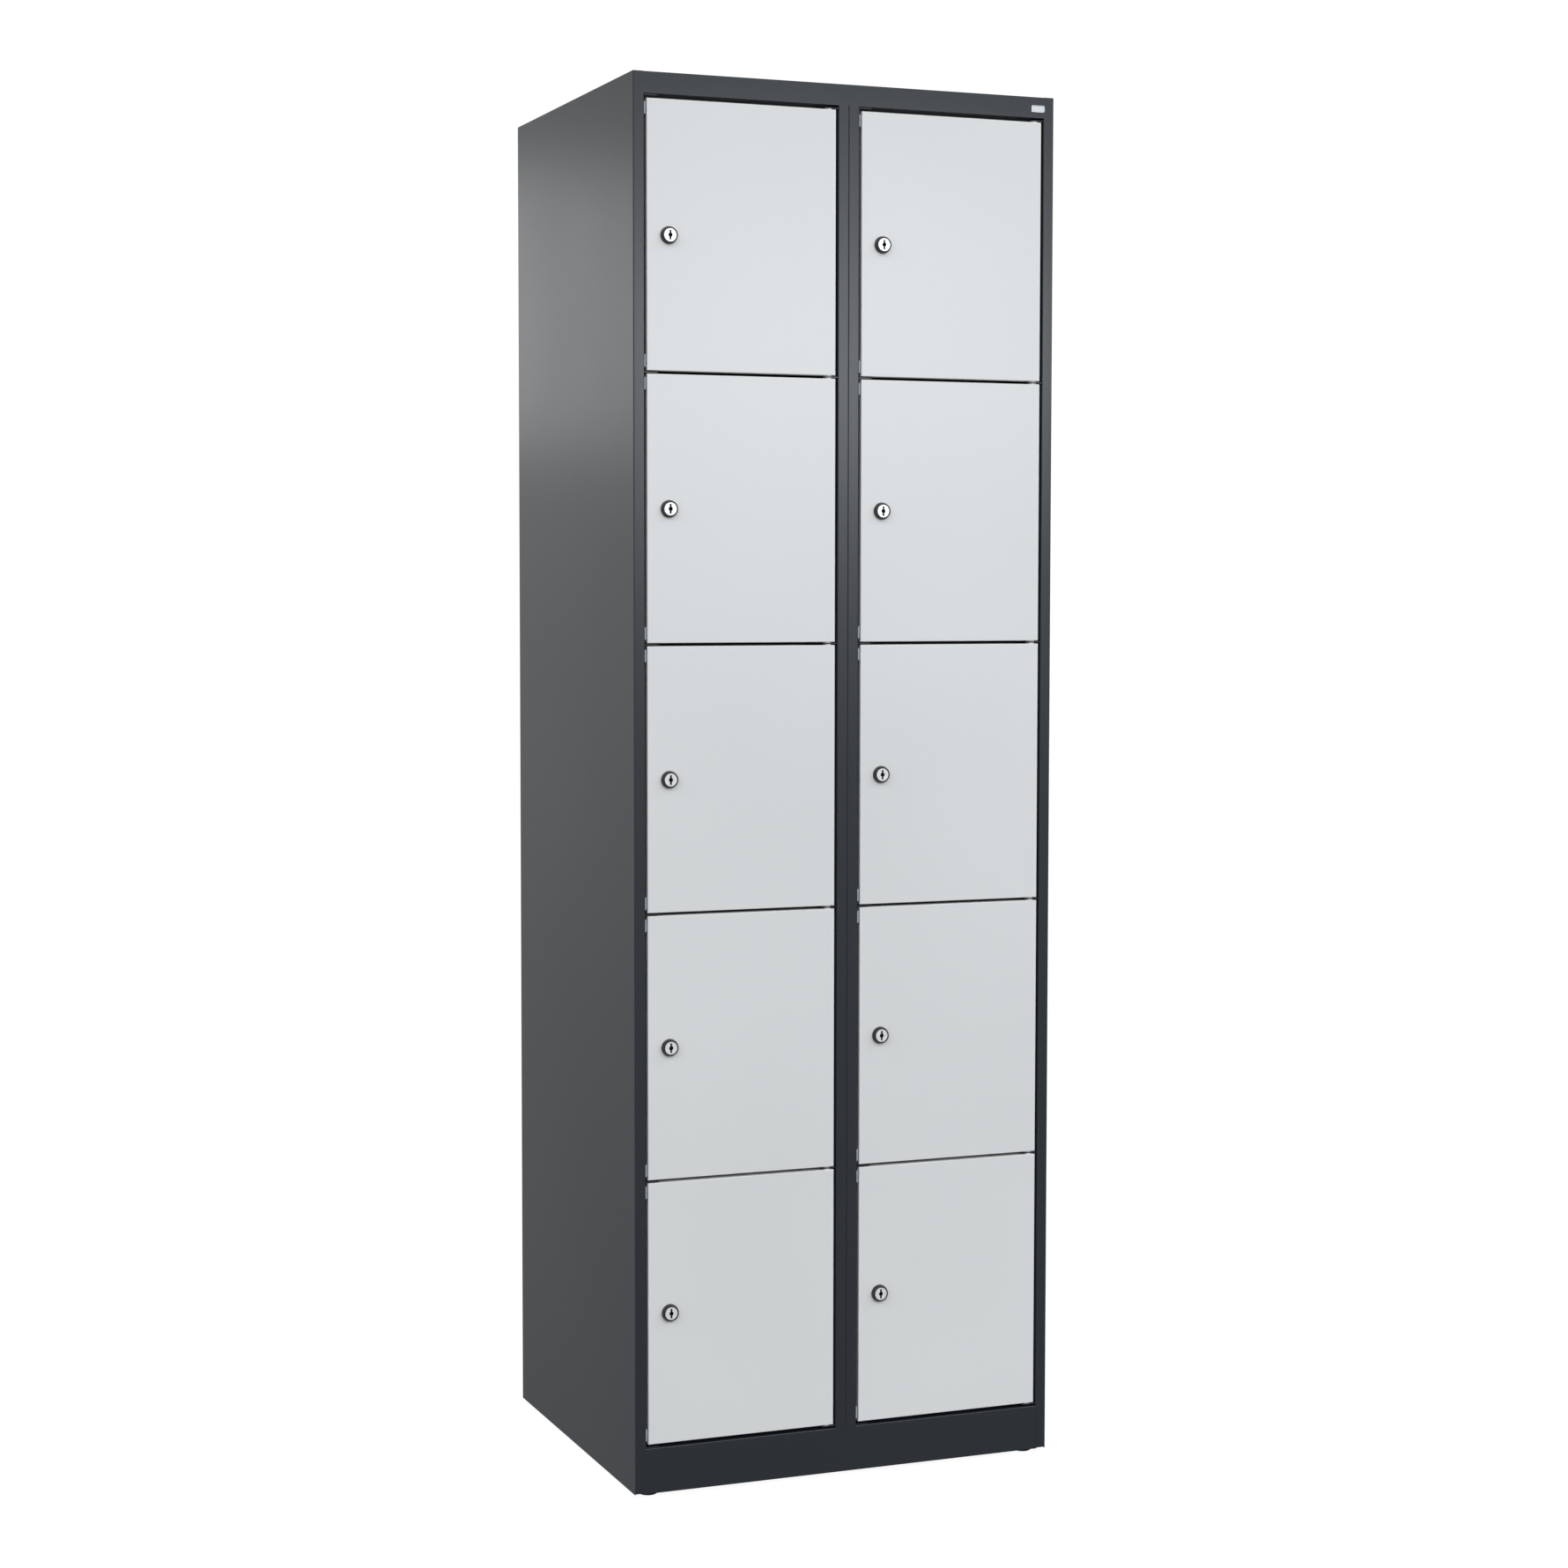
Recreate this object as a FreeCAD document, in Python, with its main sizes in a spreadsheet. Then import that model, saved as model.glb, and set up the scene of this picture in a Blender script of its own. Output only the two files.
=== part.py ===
import FreeCAD, Part
import Sketcher
import os
import re

# A steel locker with ten compartments, two columns by five rows, each closed by a folded sheet
# door on pin hinges with a cylinder cam lock. Millimetres, +Z up. The doors face -Y and the origin
# is on the floor, under the middle of the outer box. Column A is the left one, row 1 the top one.

SIZES = {
    # outer box
    "width": 600,
    "depth": 500,
    "height": 1850,
    "floor_gap": 5,
    # folded sheet of the carcass and doors; bend is the outer radius of a fold
    "sheet": 0.8,
    "bend": 1.6,
    # front frame
    "stile": 15,
    "top_rail": 28.5,
    "bottom_rail": 60.5,
    "stop_depth": 22,
    "stop_lip": 10,
    "stop_overlap": 10,
    "rear_flange": 15,
    "corner_notch": 1.4,
    # base
    "foot_ledge": 45,
    "toe_return": 8,
    # shelves and rear wall
    "shelf_flange": 20,
    "wall_hole": 9,
    "wall_hole_pitch": 450,
    "wall_hole_drop": 60,
    # doors
    "rows": 5,
    "side_gap": 3.5,
    "row_gap": 4,
    "end_gap": 5,
    "door_depth": 18,
    "door_lip": 10,
    # hinges
    "hinge_inset": 8.8,
    "hinge_setback": 7,
    "pin": 5,
    "pin_reach": 11,
    "tab_sheet": 1.5,
    "tab_reach": 20,
    "tab_setback": 1.5,
    "collar": 11.6,
    "barrel": 8,
    "barrel_length": 10,
    # locks
    "lock_inset": 30,
    "lock_reach": 6,
    "rim_base": 23.2,
    "rim_top": 20.4,
    "case_barrel": 19,
    "face_disc": 17,
    "face_recess": 0.3,
    "face_thickness": 1.7,
    "plug": 14,
    "lock_nut": 24,
    "lock_nut_thickness": 5,
    "key_slot": 11.8,
    "key_slot_width": 2.2,
    "key_circle": 4.8,
    "key_depth": 8,
    "face_ring": 10,
    "face_ring_width": 0.5,
    "face_ring_depth": 0.25,
    "cam_length": 30,
    "cam_width": 16,
    "cam_sheet": 2.5,
    "cam_square": 8,
    "cam_screw": 5,
    "cam_screw_depth": 8,
    "cam_screw_head": 11,
    "cam_screw_head_height": 2.5,
    # buffers on the lock side of each door
    "buffer_height": 16,
    "buffer_margin": 4.5,
    "buffer_thickness": 2.1,
    "buffer_setback": 1,
    # levelling feet
    "foot_inset": 25,
    "foot_setback": 22,
    "foot_disc": 25,
    "foot_neck": 17,
    "foot_rim": 3,
    "foot_height": 4.6,
    "foot_socket": 1.5,
    "stud": 10,
    "stud_top": 45,
    "stud_hole": 11,
    "weld_nut": 17,
    "weld_nut_thickness": 8,
    # plain plate on the top rail
    "plate_width": 20,
    "plate_height": 9,
    "plate_thickness": 0.6,
    "plate_corner": 2,
    "plate_inset": 23.7,
    "plate_drop": 15.7,
    # clearances
    "running_gap": 0.05,
    "fixed_gap": 0.02,
    "soft_gap": 0.3,
    "cam_gap": 0.5,
}

# Places and lengths that follow from the sizes, as formulas in the sheet's words.
FRONT = "((lock_reach - depth) / 2)"
SILL = "(floor_gap + bottom_rail)"
LINTEL = "(height - top_rail)"
OPENING = "((width - 4 * stile) / 2)"
DOOR_WIDTH = f"({OPENING} - 2 * side_gap)"
DOOR_HEIGHT = f"(({LINTEL} - {SILL} - 2 * end_gap - (rows - 1) * row_gap) / rows)"
ROW_PITCH = f"({DOOR_HEIGHT} + row_gap)"
LOWEST_GAP = f"({SILL} + end_gap - row_gap / 2)"
STOP_BACK = "(stop_depth + sheet)"
BACK_PLANE = "(depth - 2 * sheet)"
COLLAR_HEIGHT = "(row_gap / 2 - tab_sheet / 2 - running_gap)"
CAM_FRONT = f"({STOP_BACK} + cam_gap)"

# The left edge of each column's opening.
OPENING_LEFT = {"A": "(stile - width / 2)", "B": "stile"}
COLUMNS = tuple(OPENING_LEFT)

doc = FreeCAD.newDocument("Locker")
sheet = doc.addObject("Spreadsheet::Sheet", "Sizes")
for line, (word, size) in enumerate(SIZES.items(), 1):
    sheet.set(f"A{line}", str(size))
    sheet.setAlias(f"A{line}", word)
doc.recompute()

sub_parts = []
cuts = []


def bound(formula):
    """The formula with each word of the sheet as a reference to its cell."""
    return re.sub(r"[a-z_]+", lambda word: "Sizes." + word.group(0), formula)


def number(formula):
    return float(sheet.evalExpression(bound(formula)))


def bind(item, name, formula):
    item.setExpression(name, bound(formula))


def place(item, x="0", y="0", z="0"):
    for axis, formula in zip("xyz", (x, y, z)):
        bind(item, "Placement.Base." + axis, formula)


def new_body(label):
    body = doc.addObject("PartDesign::Body", label)
    body.Label = label
    return body


def rectangle(left, low, right, high):
    return [(left, low), (right, low), (right, high), (left, high)]


def draw_polygon(sketch, corners):
    """Closed straight outline, every corner dimensioned from the sketch's origin."""
    points = [FreeCAD.Vector(number(x), number(y), 0) for x, y in corners]
    ends = points[1:] + points[:1]
    lines = [sketch.addGeometry(Part.LineSegment(a, b)) for a, b in zip(points, ends)]
    for here, following in zip(lines, lines[1:] + lines[:1]):
        sketch.addConstraint(Sketcher.Constraint("Coincident", here, 2, following, 1))
    for line, point, (x, y) in zip(lines, points, corners):
        for kind, value, formula in (("DistanceX", point.x, x), ("DistanceY", point.y, y)):
            index = sketch.addConstraint(Sketcher.Constraint(kind, -1, 1, line, 1, value))
            bind(sketch, f"Constraints[{index}]", formula)


def draw_circle(sketch, x, y, diameter):
    centre = FreeCAD.Vector(number(x), number(y), 0)
    circle = Part.Circle(centre, FreeCAD.Vector(0, 0, 1), number(diameter) / 2)
    ring = sketch.addGeometry(circle)
    rules = (
        (Sketcher.Constraint("DistanceX", -1, 1, ring, 3, centre.x), x),
        (Sketcher.Constraint("DistanceY", -1, 1, ring, 3, centre.y), y),
        (Sketcher.Constraint("Diameter", ring, number(diameter)), diameter),
    )
    for rule, formula in rules:
        bind(sketch, f"Constraints[{sketch.addConstraint(rule)}]", formula)


def new_sketch(body, plane, level, polygons=(), circles=()):
    """A sketch on one of the body's origin planes, lifted to level along X, Y or Z."""
    sketch = body.newObject("Sketcher::SketchObject", "Sketch")
    role = plane + "_Plane"
    origin_plane = next(item for item in body.Origin.OriginFeatures if item.Role == role)
    sketch.AttachmentSupport = (origin_plane, [""])
    sketch.MapMode = "FlatFace"
    # The XZ plane's normal is -Y.
    bind(sketch, "AttachmentOffset.Base.z", f"-({level})" if plane == "XZ" else level)
    for corners in polygons:
        draw_polygon(sketch, corners)
    for x, y, diameter in circles:
        draw_circle(sketch, x, y, diameter)
    return sketch


def add_pad(body, plane, level, length, polygons=(), circles=()):
    """Material from level towards plus X, Y or Z."""
    pad = body.newObject("PartDesign::Pad", "Pad")
    pad.Profile = new_sketch(body, plane, level, polygons, circles)
    pad.Reversed = plane == "XZ"
    bind(pad, "Length", length)
    return pad


def cut_pocket(body, plane, level, length, polygons=(), circles=()):
    """A cut from level towards plus X, Y or Z."""
    pocket = body.newObject("PartDesign::Pocket", "Pocket")
    pocket.Profile = new_sketch(body, plane, level, polygons, circles)
    pocket.Reversed = plane != "XZ"
    bind(pocket, "Length", length)
    cuts.append(pocket)
    return pocket


def turn(body, plane, axis, corners):
    """A solid of revolution about the sketch's horizontal or vertical axis."""
    revolution = body.newObject("PartDesign::Revolution", "Revolution")
    sketch = new_sketch(body, plane, "0", [corners])
    revolution.Profile = sketch
    revolution.ReferenceAxis = (sketch, [axis + "_Axis"])
    revolution.Angle = 360
    return revolution


def round_edges(body, radius, chosen):
    """A fillet on each edge of the body that the test, given the edge's two ends, accepts."""
    doc.recompute()
    base = body.Tip
    names = []
    for index, edge in enumerate(base.Shape.Edges, 1):
        ends = [vertex.Point for vertex in edge.Vertexes]
        if len(ends) == 2 and chosen(*ends):
            names.append(f"Edge{index}")
    fillet = body.newObject("PartDesign::Fillet", "Fillet")
    fillet.Base = (base, names)
    bind(fillet, "Radius", radius)
    return fillet


def near(first, second):
    return abs(first - second) < 1e-4


def at_level(axis, formula):
    """A test for edges that lie in the plane at a formula's place on an axis."""
    level = number(formula)
    return lambda start, end: near(start[axis], level) and near(end[axis], level)


def fold(body, plane, outer, inner):
    """Bend radii along a sheet profile: outer and inner are corners of its outline."""
    axes = {"XY": (0, 1), "XZ": (0, 2), "YZ": (1, 2)}[plane]
    for corners, radius in ((outer, "bend"), (inner, "bend - sheet")):
        spots = [(number(x), number(y)) for x, y in corners]

        def runs_through_a_corner(*ends):
            return any(
                all(near(end[axes[0]], x) and near(end[axes[1]], y) for end in ends)
                for x, y in spots
            )

        round_edges(body, radius, runs_through_a_corner)


def publish(item, label):
    item.Label = label
    sub_parts.append(item)
    return item


def group(label, pieces):
    """Loose pieces of one kind, or pieces fixed to each other, as one sub-part."""
    compound = doc.addObject("Part::Compound", label)
    compound.Links = pieces
    return publish(compound, label)


# ---- carcass -----------------------------------------------------------------------------------

def upright_profile(side, back):
    """Plan of a folded upright: wall, front face, door stop return and lip, rear flange.

    The wall's outer face is x = 0 and side is the sign of the direction its faces point.
    """
    def at(x, y):
        return (f"{side} * ({x})", y)

    outer = [at("0", "0"), at("stile", "0"), at("stile - sheet", STOP_BACK), at("0", back)]
    inner = [
        at("stile", "stop_depth"),
        at("stile - sheet", "sheet"),
        at("sheet", "sheet"),
        at("sheet", f"{back} - sheet"),
    ]
    outline = [
        outer[0],
        outer[1],
        inner[0],
        at("stile + stop_lip", "stop_depth"),
        at("stile + stop_lip", STOP_BACK),
        outer[2],
        inner[1],
        inner[2],
        inner[3],
        at("rear_flange", f"{back} - sheet"),
        at("rear_flange", back),
        outer[3],
    ]
    return outline, outer, inner


def side_panel(label, side, x):
    """An outer wall; its front face is cut back beside the rails, which butt against it."""
    body = new_body(label)
    outline, outer, inner = upright_profile(side, "depth")
    add_pad(body, "XY", "floor_gap", "height - floor_gap", [outline])
    fold(body, "XY", outer, inner)
    past_lip = f"{side} * (stile + stop_lip + sheet)"
    beside_rail = rectangle(f"{side} * (stile - bend)", "-sheet", past_lip, f"{STOP_BACK} + sheet")
    cut_pocket(body, "XY", "floor_gap", "bottom_rail", [beside_rail])
    cut_pocket(body, "XY", LINTEL, "top_rail", [beside_rail])
    toe = rectangle(f"{side} * (-sheet)", "-sheet", f"{side} * stile", "bend")
    cut_pocket(body, "XY", "floor_gap", "corner_notch", [toe])
    place(body, x, FRONT)
    return publish(body, label)


def partition(label, side):
    """One half of the middle wall, between the sill and the roof, coped under the top rail."""
    body = new_body(label)
    outline, outer, inner = upright_profile(side, BACK_PLANE)
    add_pad(body, "XY", SILL, f"height - sheet - {SILL}", [outline])
    fold(body, "XY", outer, inner)
    past_lip = f"{side} * (stile + stop_lip + sheet)"
    cope = rectangle(f"{side} * (-sheet)", "-sheet", past_lip, STOP_BACK)
    cut_pocket(body, "XY", LINTEL, "top_rail", [cope])
    place(body, "0", FRONT)
    return publish(body, label)


def stop_gaps(body, low):
    """Cut a rail's door stop away where the uprights' own stops stand."""
    edges = (
        ("-width / 2", "stile + stop_lip - width / 2"),
        ("-stile - stop_lip", "stile + stop_lip"),
        ("width / 2 - stile - stop_lip", "width / 2"),
    )
    behind = f"{STOP_BACK} + sheet"
    spans = [rectangle(left, "stop_depth - bend", right, behind) for left, right in edges]
    cut_pocket(body, "XY", low, "stop_overlap", spans)


def roof_panel():
    """Top sheet folded down into the front rail, its return and stop, and a rear flange."""
    body = new_body("roof_panel")
    outer = [
        ("0", "height"), ("0", LINTEL), (STOP_BACK, f"{LINTEL} + sheet"), ("depth", "height")]
    inner = [
        ("stop_depth", LINTEL),
        ("sheet", f"{LINTEL} + sheet"),
        ("sheet", "height - sheet"),
        ("depth - sheet", "height - sheet"),
    ]
    outline = [
        outer[0],
        outer[1],
        inner[0],
        ("stop_depth", f"{LINTEL} - stop_overlap"),
        (STOP_BACK, f"{LINTEL} - stop_overlap"),
        outer[2],
        inner[1],
        inner[2],
        inner[3],
        ("depth - sheet", "height - rear_flange"),
        ("depth", "height - rear_flange"),
        outer[3],
    ]
    add_pad(body, "YZ", "stile - bend - width / 2", "width - 2 * (stile - bend)", [outline])
    fold(body, "YZ", outer, inner)
    stop_gaps(body, f"{LINTEL} - stop_overlap")
    for side in ("-1", "1"):
        edge = f"{side} * (width / 2 - sheet)"
        ear = rectangle(edge, "sheet", f"{side} * (width / 2 - stile)", "depth - sheet")
        add_pad(body, "XY", "height - sheet", "sheet", [ear])
        flange_start = f"{side} * (width / 2 - rear_flange)"
        corner = f"{side} * width / 2"
        flange_end = rectangle(flange_start, "depth - sheet", corner, "depth + sheet")
        cut_pocket(body, "XY", "height - rear_flange", "rear_flange", [flange_end])
    place(body, "0", FRONT)
    return publish(body, "roof_panel")


def plinth_rail():
    """Front rail under the doors, with a top return, a door stop and a toe return."""
    body = new_body("plinth_rail")
    outer = [("0", "floor_gap"), ("0", SILL), (STOP_BACK, f"{SILL} - sheet")]
    inner = [
        ("stop_depth", SILL), ("sheet", f"{SILL} - sheet"), ("sheet", "floor_gap + sheet")]
    outline = [
        ("toe_return", "floor_gap"),
        outer[0],
        outer[1],
        inner[0],
        ("stop_depth", f"{SILL} + stop_overlap"),
        (STOP_BACK, f"{SILL} + stop_overlap"),
        outer[2],
        inner[1],
        inner[2],
        ("toe_return", "floor_gap + sheet"),
    ]
    add_pad(body, "YZ", "stile - bend - width / 2", "width - 2 * (stile - bend)", [outline])
    fold(body, "YZ", outer, inner)
    stop_gaps(body, SILL)
    place(body, "0", FRONT)
    return publish(body, "plinth_rail")


def foot_places():
    """Where the levelling feet stand, by name, in the carcass plan."""
    across = {"left": "foot_inset - width / 2", "right": "width / 2 - foot_inset"}
    along = {"front": "foot_setback", "rear": "depth - foot_setback"}
    return {f"{y}_{x}": (across[x], along[y]) for y in along for x in across}


def base_panel():
    """Floor of the lowest compartments, folded down to two ledges with welded nuts."""
    tray = new_body("base_tray")

    def half(side):
        inner_wall = f"{side} * (width / 2 - 2 * sheet)"
        outer = [
            (f"{side} * (width / 2 - sheet)", "floor_gap"), (f"{side} * (width / 2 - sheet)", SILL)]
        inner = [(inner_wall, "floor_gap + sheet"), (inner_wall, f"{SILL} - sheet")]
        ledge = [
            (f"{side} * (width / 2 - foot_ledge)", "floor_gap"),
            (f"{side} * (width / 2 - foot_ledge)", "floor_gap + sheet"),
        ]
        return outer, inner, ledge

    left_outer, left_inner, left_ledge = half("-1")
    right_outer, right_inner, right_ledge = half("1")
    outline = [
        *left_outer, *reversed(right_outer), *right_ledge,
        *right_inner, *reversed(left_inner), *reversed(left_ledge),
    ]
    add_pad(tray, "XZ", STOP_BACK, f"{BACK_PLANE} - {STOP_BACK}", [outline])
    fold(tray, "XZ", left_outer + right_outer, left_inner + right_inner)
    toes = []
    for side in ("-1", "1"):
        edge = f"{side} * (width / 2 - sheet)"
        toes.append(rectangle(edge, "toe_return", f"{side} * (width / 2 - foot_ledge)", STOP_BACK))
    add_pad(tray, "XY", "floor_gap", "sheet", toes)
    holes = [(x, y, "stud_hole") for x, y in foot_places().values()]
    cut_pocket(tray, "XY", "floor_gap", "sheet", circles=holes)

    nuts = [weld_nut(spot, x, y) for spot, (x, y) in foot_places().items()]
    base = group("base_panel", [tray, *nuts])
    place(base, "0", FRONT)
    return base


def hexagon(across_flats):
    """Corners of a hexagon about the origin, flat sides facing left and right."""
    flat = f"{across_flats} / 2"
    point = f"{across_flats} / 3 ^ 0.5"
    half_point = f"{across_flats} / 3 ^ 0.5 / 2"
    right = [(flat, f"-{half_point}"), (flat, half_point)]
    left = [(f"-{flat}", half_point), (f"-{flat}", f"-{half_point}")]
    return [*right, ("0", point), *left, ("0", f"-{point}")]


def weld_nut(spot, x, y):
    body = new_body("weld_nut_" + spot)
    bore = ("0", "0", "stud + 2 * running_gap")
    add_pad(body, "XY", "0", "weld_nut_thickness", [hexagon("weld_nut")], [bore])
    place(body, x, y, "floor_gap + sheet")
    return body


def back_panel():
    """Flat rear wall inside the rear flanges, clear of their folds, with two fixing holes."""
    body = new_body("back_panel")
    wall = rectangle("bend - width / 2", "floor_gap", "width / 2 - bend", "height - bend")
    add_pad(body, "XZ", BACK_PLANE, "sheet", [wall])
    level = "height - wall_hole_drop"
    holes = [(f"{side} * wall_hole_pitch / 2", level, "wall_hole") for side in ("-1", "1")]
    cut_pocket(body, "XZ", BACK_PLANE, "sheet", circles=holes)
    place(body, "0", FRONT)
    return publish(body, "back_panel")


def shelf(label, left):
    """A tray upside down: a flat shelf with flanges folded down all round."""
    body = new_body(label)
    wide = "(width / 2 - 2 * sheet)"
    deep = f"({BACK_PLANE} - bend - {STOP_BACK})"
    add_pad(body, "XY", "-shelf_flange", "shelf_flange", [rectangle("0", "0", wide, deep)])
    round_edges(body, "bend", at_level(2, "0"))
    hollow = rectangle("sheet", "sheet", f"{wide} - sheet", f"{deep} - sheet")
    cut_pocket(body, "XY", "-shelf_flange", "shelf_flange - sheet", [hollow])
    round_edges(body, "bend - sheet", at_level(2, "-sheet"))
    place(body, left, STOP_BACK)
    return body


def shelves(level):
    """The left and right shelf under one row of doors."""
    lefts = {"A": "sheet - width / 2", "B": "sheet"}
    pieces = [shelf(f"shelf_{column}{level}", lefts[column]) for column in COLUMNS]
    pair = group(f"shelves_level_{level}", pieces)
    place(pair, "0", FRONT, f"{LOWEST_GAP} + (rows - {level}) * {ROW_PITCH}")
    return pair


# ---- hinges and door buffers -------------------------------------------------------------------

def gap_height(step):
    """Middle of the gap under a row, or over the top row, counted from the lowest gap."""
    return f"{LOWEST_GAP} + {step} * {ROW_PITCH}"


def hinge_tab(name, root, side, level, hinged, back="stop_depth"):
    """A flat tab from an upright into the gap between two doors; hinge tabs have a pin hole."""
    body = new_body(name)
    plate = rectangle("0", "tab_setback", f"{side} * tab_reach", back)
    pin_x = f"{side} * (side_gap + hinge_inset)"
    holes = [(pin_x, "hinge_setback", "pin + 2 * fixed_gap")] if hinged else []
    add_pad(body, "XY", "-tab_sheet / 2", "tab_sheet", [plate], holes)
    place(body, root, FRONT, level)
    return body


def hinge_tabs():
    tabs = []
    top_step = int(number("rows"))
    for column in COLUMNS:
        left = OPENING_LEFT[column]
        for step in range(top_step + 1):
            name = f"tab_{column}{step}"
            right = f"{left} + {OPENING}"
            tabs.append(hinge_tab(name + "_hinge", right, "-1", gap_height(step), True))
            if step < top_step:
                tabs.append(hinge_tab(name + "_lock", left, "1", gap_height(step), False))
        # The highest tab on the lock side lies against the rail, clear of its fold.
        clear_of_fold = "stop_depth - (bend - sheet)"
        under_rail = f"{LINTEL} - tab_sheet / 2"
        tabs.append(hinge_tab(f"tab_{column}_rail", left, "1", under_rail, False, clear_of_fold))
    return group("hinge_tabs", tabs)


def hinge_pin(name, x, step):
    """A pin fixed in a hinge tab that reaches into the door above, the door below, or both."""
    body = new_body(name)
    down = "tab_sheet / 2" if step == 0 else "(tab_sheet / 2 + pin_reach)"
    up = "tab_sheet / 2" if step == int(number("rows")) else "(tab_sheet / 2 + pin_reach)"
    add_pad(body, "XY", f"-{down}", f"{down} + {up}", circles=[("0", "0", "pin")])
    place(body, x, f"{FRONT} + hinge_setback", gap_height(step))
    return body


def hinge_pins():
    pins = []
    for column in COLUMNS:
        x = f"{OPENING_LEFT[column]} + {OPENING} - side_gap - hinge_inset"
        for step in range(int(number("rows")) + 1):
            pins.append(hinge_pin(f"pin_{column}{step}", x, step))
    return group("hinge_pins", pins)


def buffer(name, x, z):
    """A rubber corner: a side strip in the door gap and a pad on the door stop."""
    body = new_body(name)
    strip_back = "door_depth + soft_gap"
    corner = [
        ("0", "buffer_setback"),
        ("buffer_thickness", "buffer_setback"),
        ("buffer_thickness", strip_back),
        ("stop_lip", strip_back),
        ("stop_lip", "stop_depth"),
        ("bend - sheet", "stop_depth"),
        ("0", "stop_depth - (bend - sheet)"),
    ]
    add_pad(body, "XY", "0", "buffer_height", [corner])
    place(body, x, FRONT, z)
    return body


def door_buffers():
    buffers = []
    for column in COLUMNS:
        for step in range(int(number("rows"))):
            sill = f"{gap_height(step)} + row_gap / 2"
            low = f"{sill} + buffer_margin"
            high = f"{sill} + {DOOR_HEIGHT} - buffer_margin - buffer_height"
            for end, z in (("low", low), ("high", high)):
                buffers.append(buffer(f"buffer_{column}{step}_{end}", OPENING_LEFT[column], z))
    return group("door_buffers", buffers)


# ---- doors and locks ---------------------------------------------------------------------------

def door_place(column, row):
    """Lower left front corner of a door."""
    x = f"{OPENING_LEFT[column]} + side_gap"
    return x, FRONT, f"{gap_height(f'(rows - {row})')} + row_gap / 2"


def door(column, row):
    """A folded pan: front sheet, flanges all round and a return lip at the back."""
    label = f"door_{column}{row}"
    body = new_body(label)
    add_pad(body, "XZ", "0", "door_depth", [rectangle("0", "0", DOOR_WIDTH, DOOR_HEIGHT)])
    round_edges(body, "bend", at_level(1, "0"))
    hollow = rectangle("sheet", "sheet", f"{DOOR_WIDTH} - sheet", f"{DOOR_HEIGHT} - sheet")
    cut_pocket(body, "XZ", "sheet", "door_depth - sheet", [hollow])
    round_edges(body, "bend - sheet", at_level(1, "sheet"))
    rim = rectangle("0", "0", DOOR_WIDTH, DOOR_HEIGHT)
    lip_right, lip_top = f"{DOOR_WIDTH} - door_lip", f"{DOOR_HEIGHT} - door_lip"
    window = rectangle("door_lip", "door_lip", lip_right, lip_top)
    add_pad(body, "XZ", "door_depth - sheet", "sheet", [rim, window])
    lock_hole = ("lock_inset", f"{DOOR_HEIGHT} / 2", "case_barrel + 2 * running_gap")
    cut_pocket(body, "XZ", "0", "sheet", circles=[lock_hole])
    bush_hole = (f"{DOOR_WIDTH} - hinge_inset", "hinge_setback", "barrel + 2 * running_gap")
    for level in ("0", f"{DOOR_HEIGHT} - sheet"):
        cut_pocket(body, "XY", level, "sheet", circles=[bush_hole])
    place(body, *door_place(column, row))
    return publish(body, label)


def bush(name, into_door):
    """A flanged bush: the collar runs on the hinge tab, the barrel stands in the door."""
    body = new_body(name)
    bore = "pin / 2 + running_gap"
    profile = [
        (bore, f"-{into_door} * {COLLAR_HEIGHT}"),
        ("collar / 2", f"-{into_door} * {COLLAR_HEIGHT}"),
        ("collar / 2", "0"),
        ("barrel / 2", "0"),
        ("barrel / 2", f"{into_door} * barrel_length"),
        (bore, f"{into_door} * barrel_length"),
    ]
    turn(body, "XZ", "V", profile)
    return body


def hinge_bushes(column, row):
    tag = f"{column}{row}"
    low = bush(f"bush_{tag}_low", "1")
    high = bush(f"bush_{tag}_high", "-1")
    place(high, z=DOOR_HEIGHT)
    pair = group(f"hinge_bushes_{tag}", [low, high])
    x, y, z = door_place(column, row)
    place(pair, f"{x} + {DOOR_WIDTH} - hinge_inset", f"{y} + hinge_setback", z)
    return pair


def place_on_lock(item, column, row):
    """Put a piece drawn about the origin on the lock's axis, in the plane of the door's face."""
    x, y, z = door_place(column, row)
    place(item, f"{x} + lock_inset", y, f"{z} + {DOOR_HEIGHT} / 2")


def lock_case(column, row):
    """The fixed case with its tapered rim, and the hexagon nut behind the door's sheet."""
    tag = f"{column}{row}"
    shell = new_body(f"case_{tag}")
    disc_seat = "face_recess + face_thickness + running_gap - lock_reach"
    disc_bore = "face_disc / 2 + running_gap"
    plug_bore = "plug / 2 + running_gap"
    profile = [
        ("0", "rim_base / 2"),
        ("-lock_reach", "rim_top / 2"),
        ("-lock_reach", disc_bore),
        (disc_seat, disc_bore),
        (disc_seat, plug_bore),
        (f"{CAM_FRONT} - soft_gap", plug_bore),
        (f"{CAM_FRONT} - soft_gap", "case_barrel / 2"),
        ("0", "case_barrel / 2"),
    ]
    turn(shell, "YZ", "H", profile)
    nut = new_body(f"case_nut_{tag}")
    bore = ("0", "0", "case_barrel + 2 * running_gap")
    add_pad(nut, "XZ", "sheet", "lock_nut_thickness", [hexagon("lock_nut")], [bore])
    case = group(f"lock_case_{tag}", [shell, nut])
    place_on_lock(case, column, row)
    return case


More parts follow.
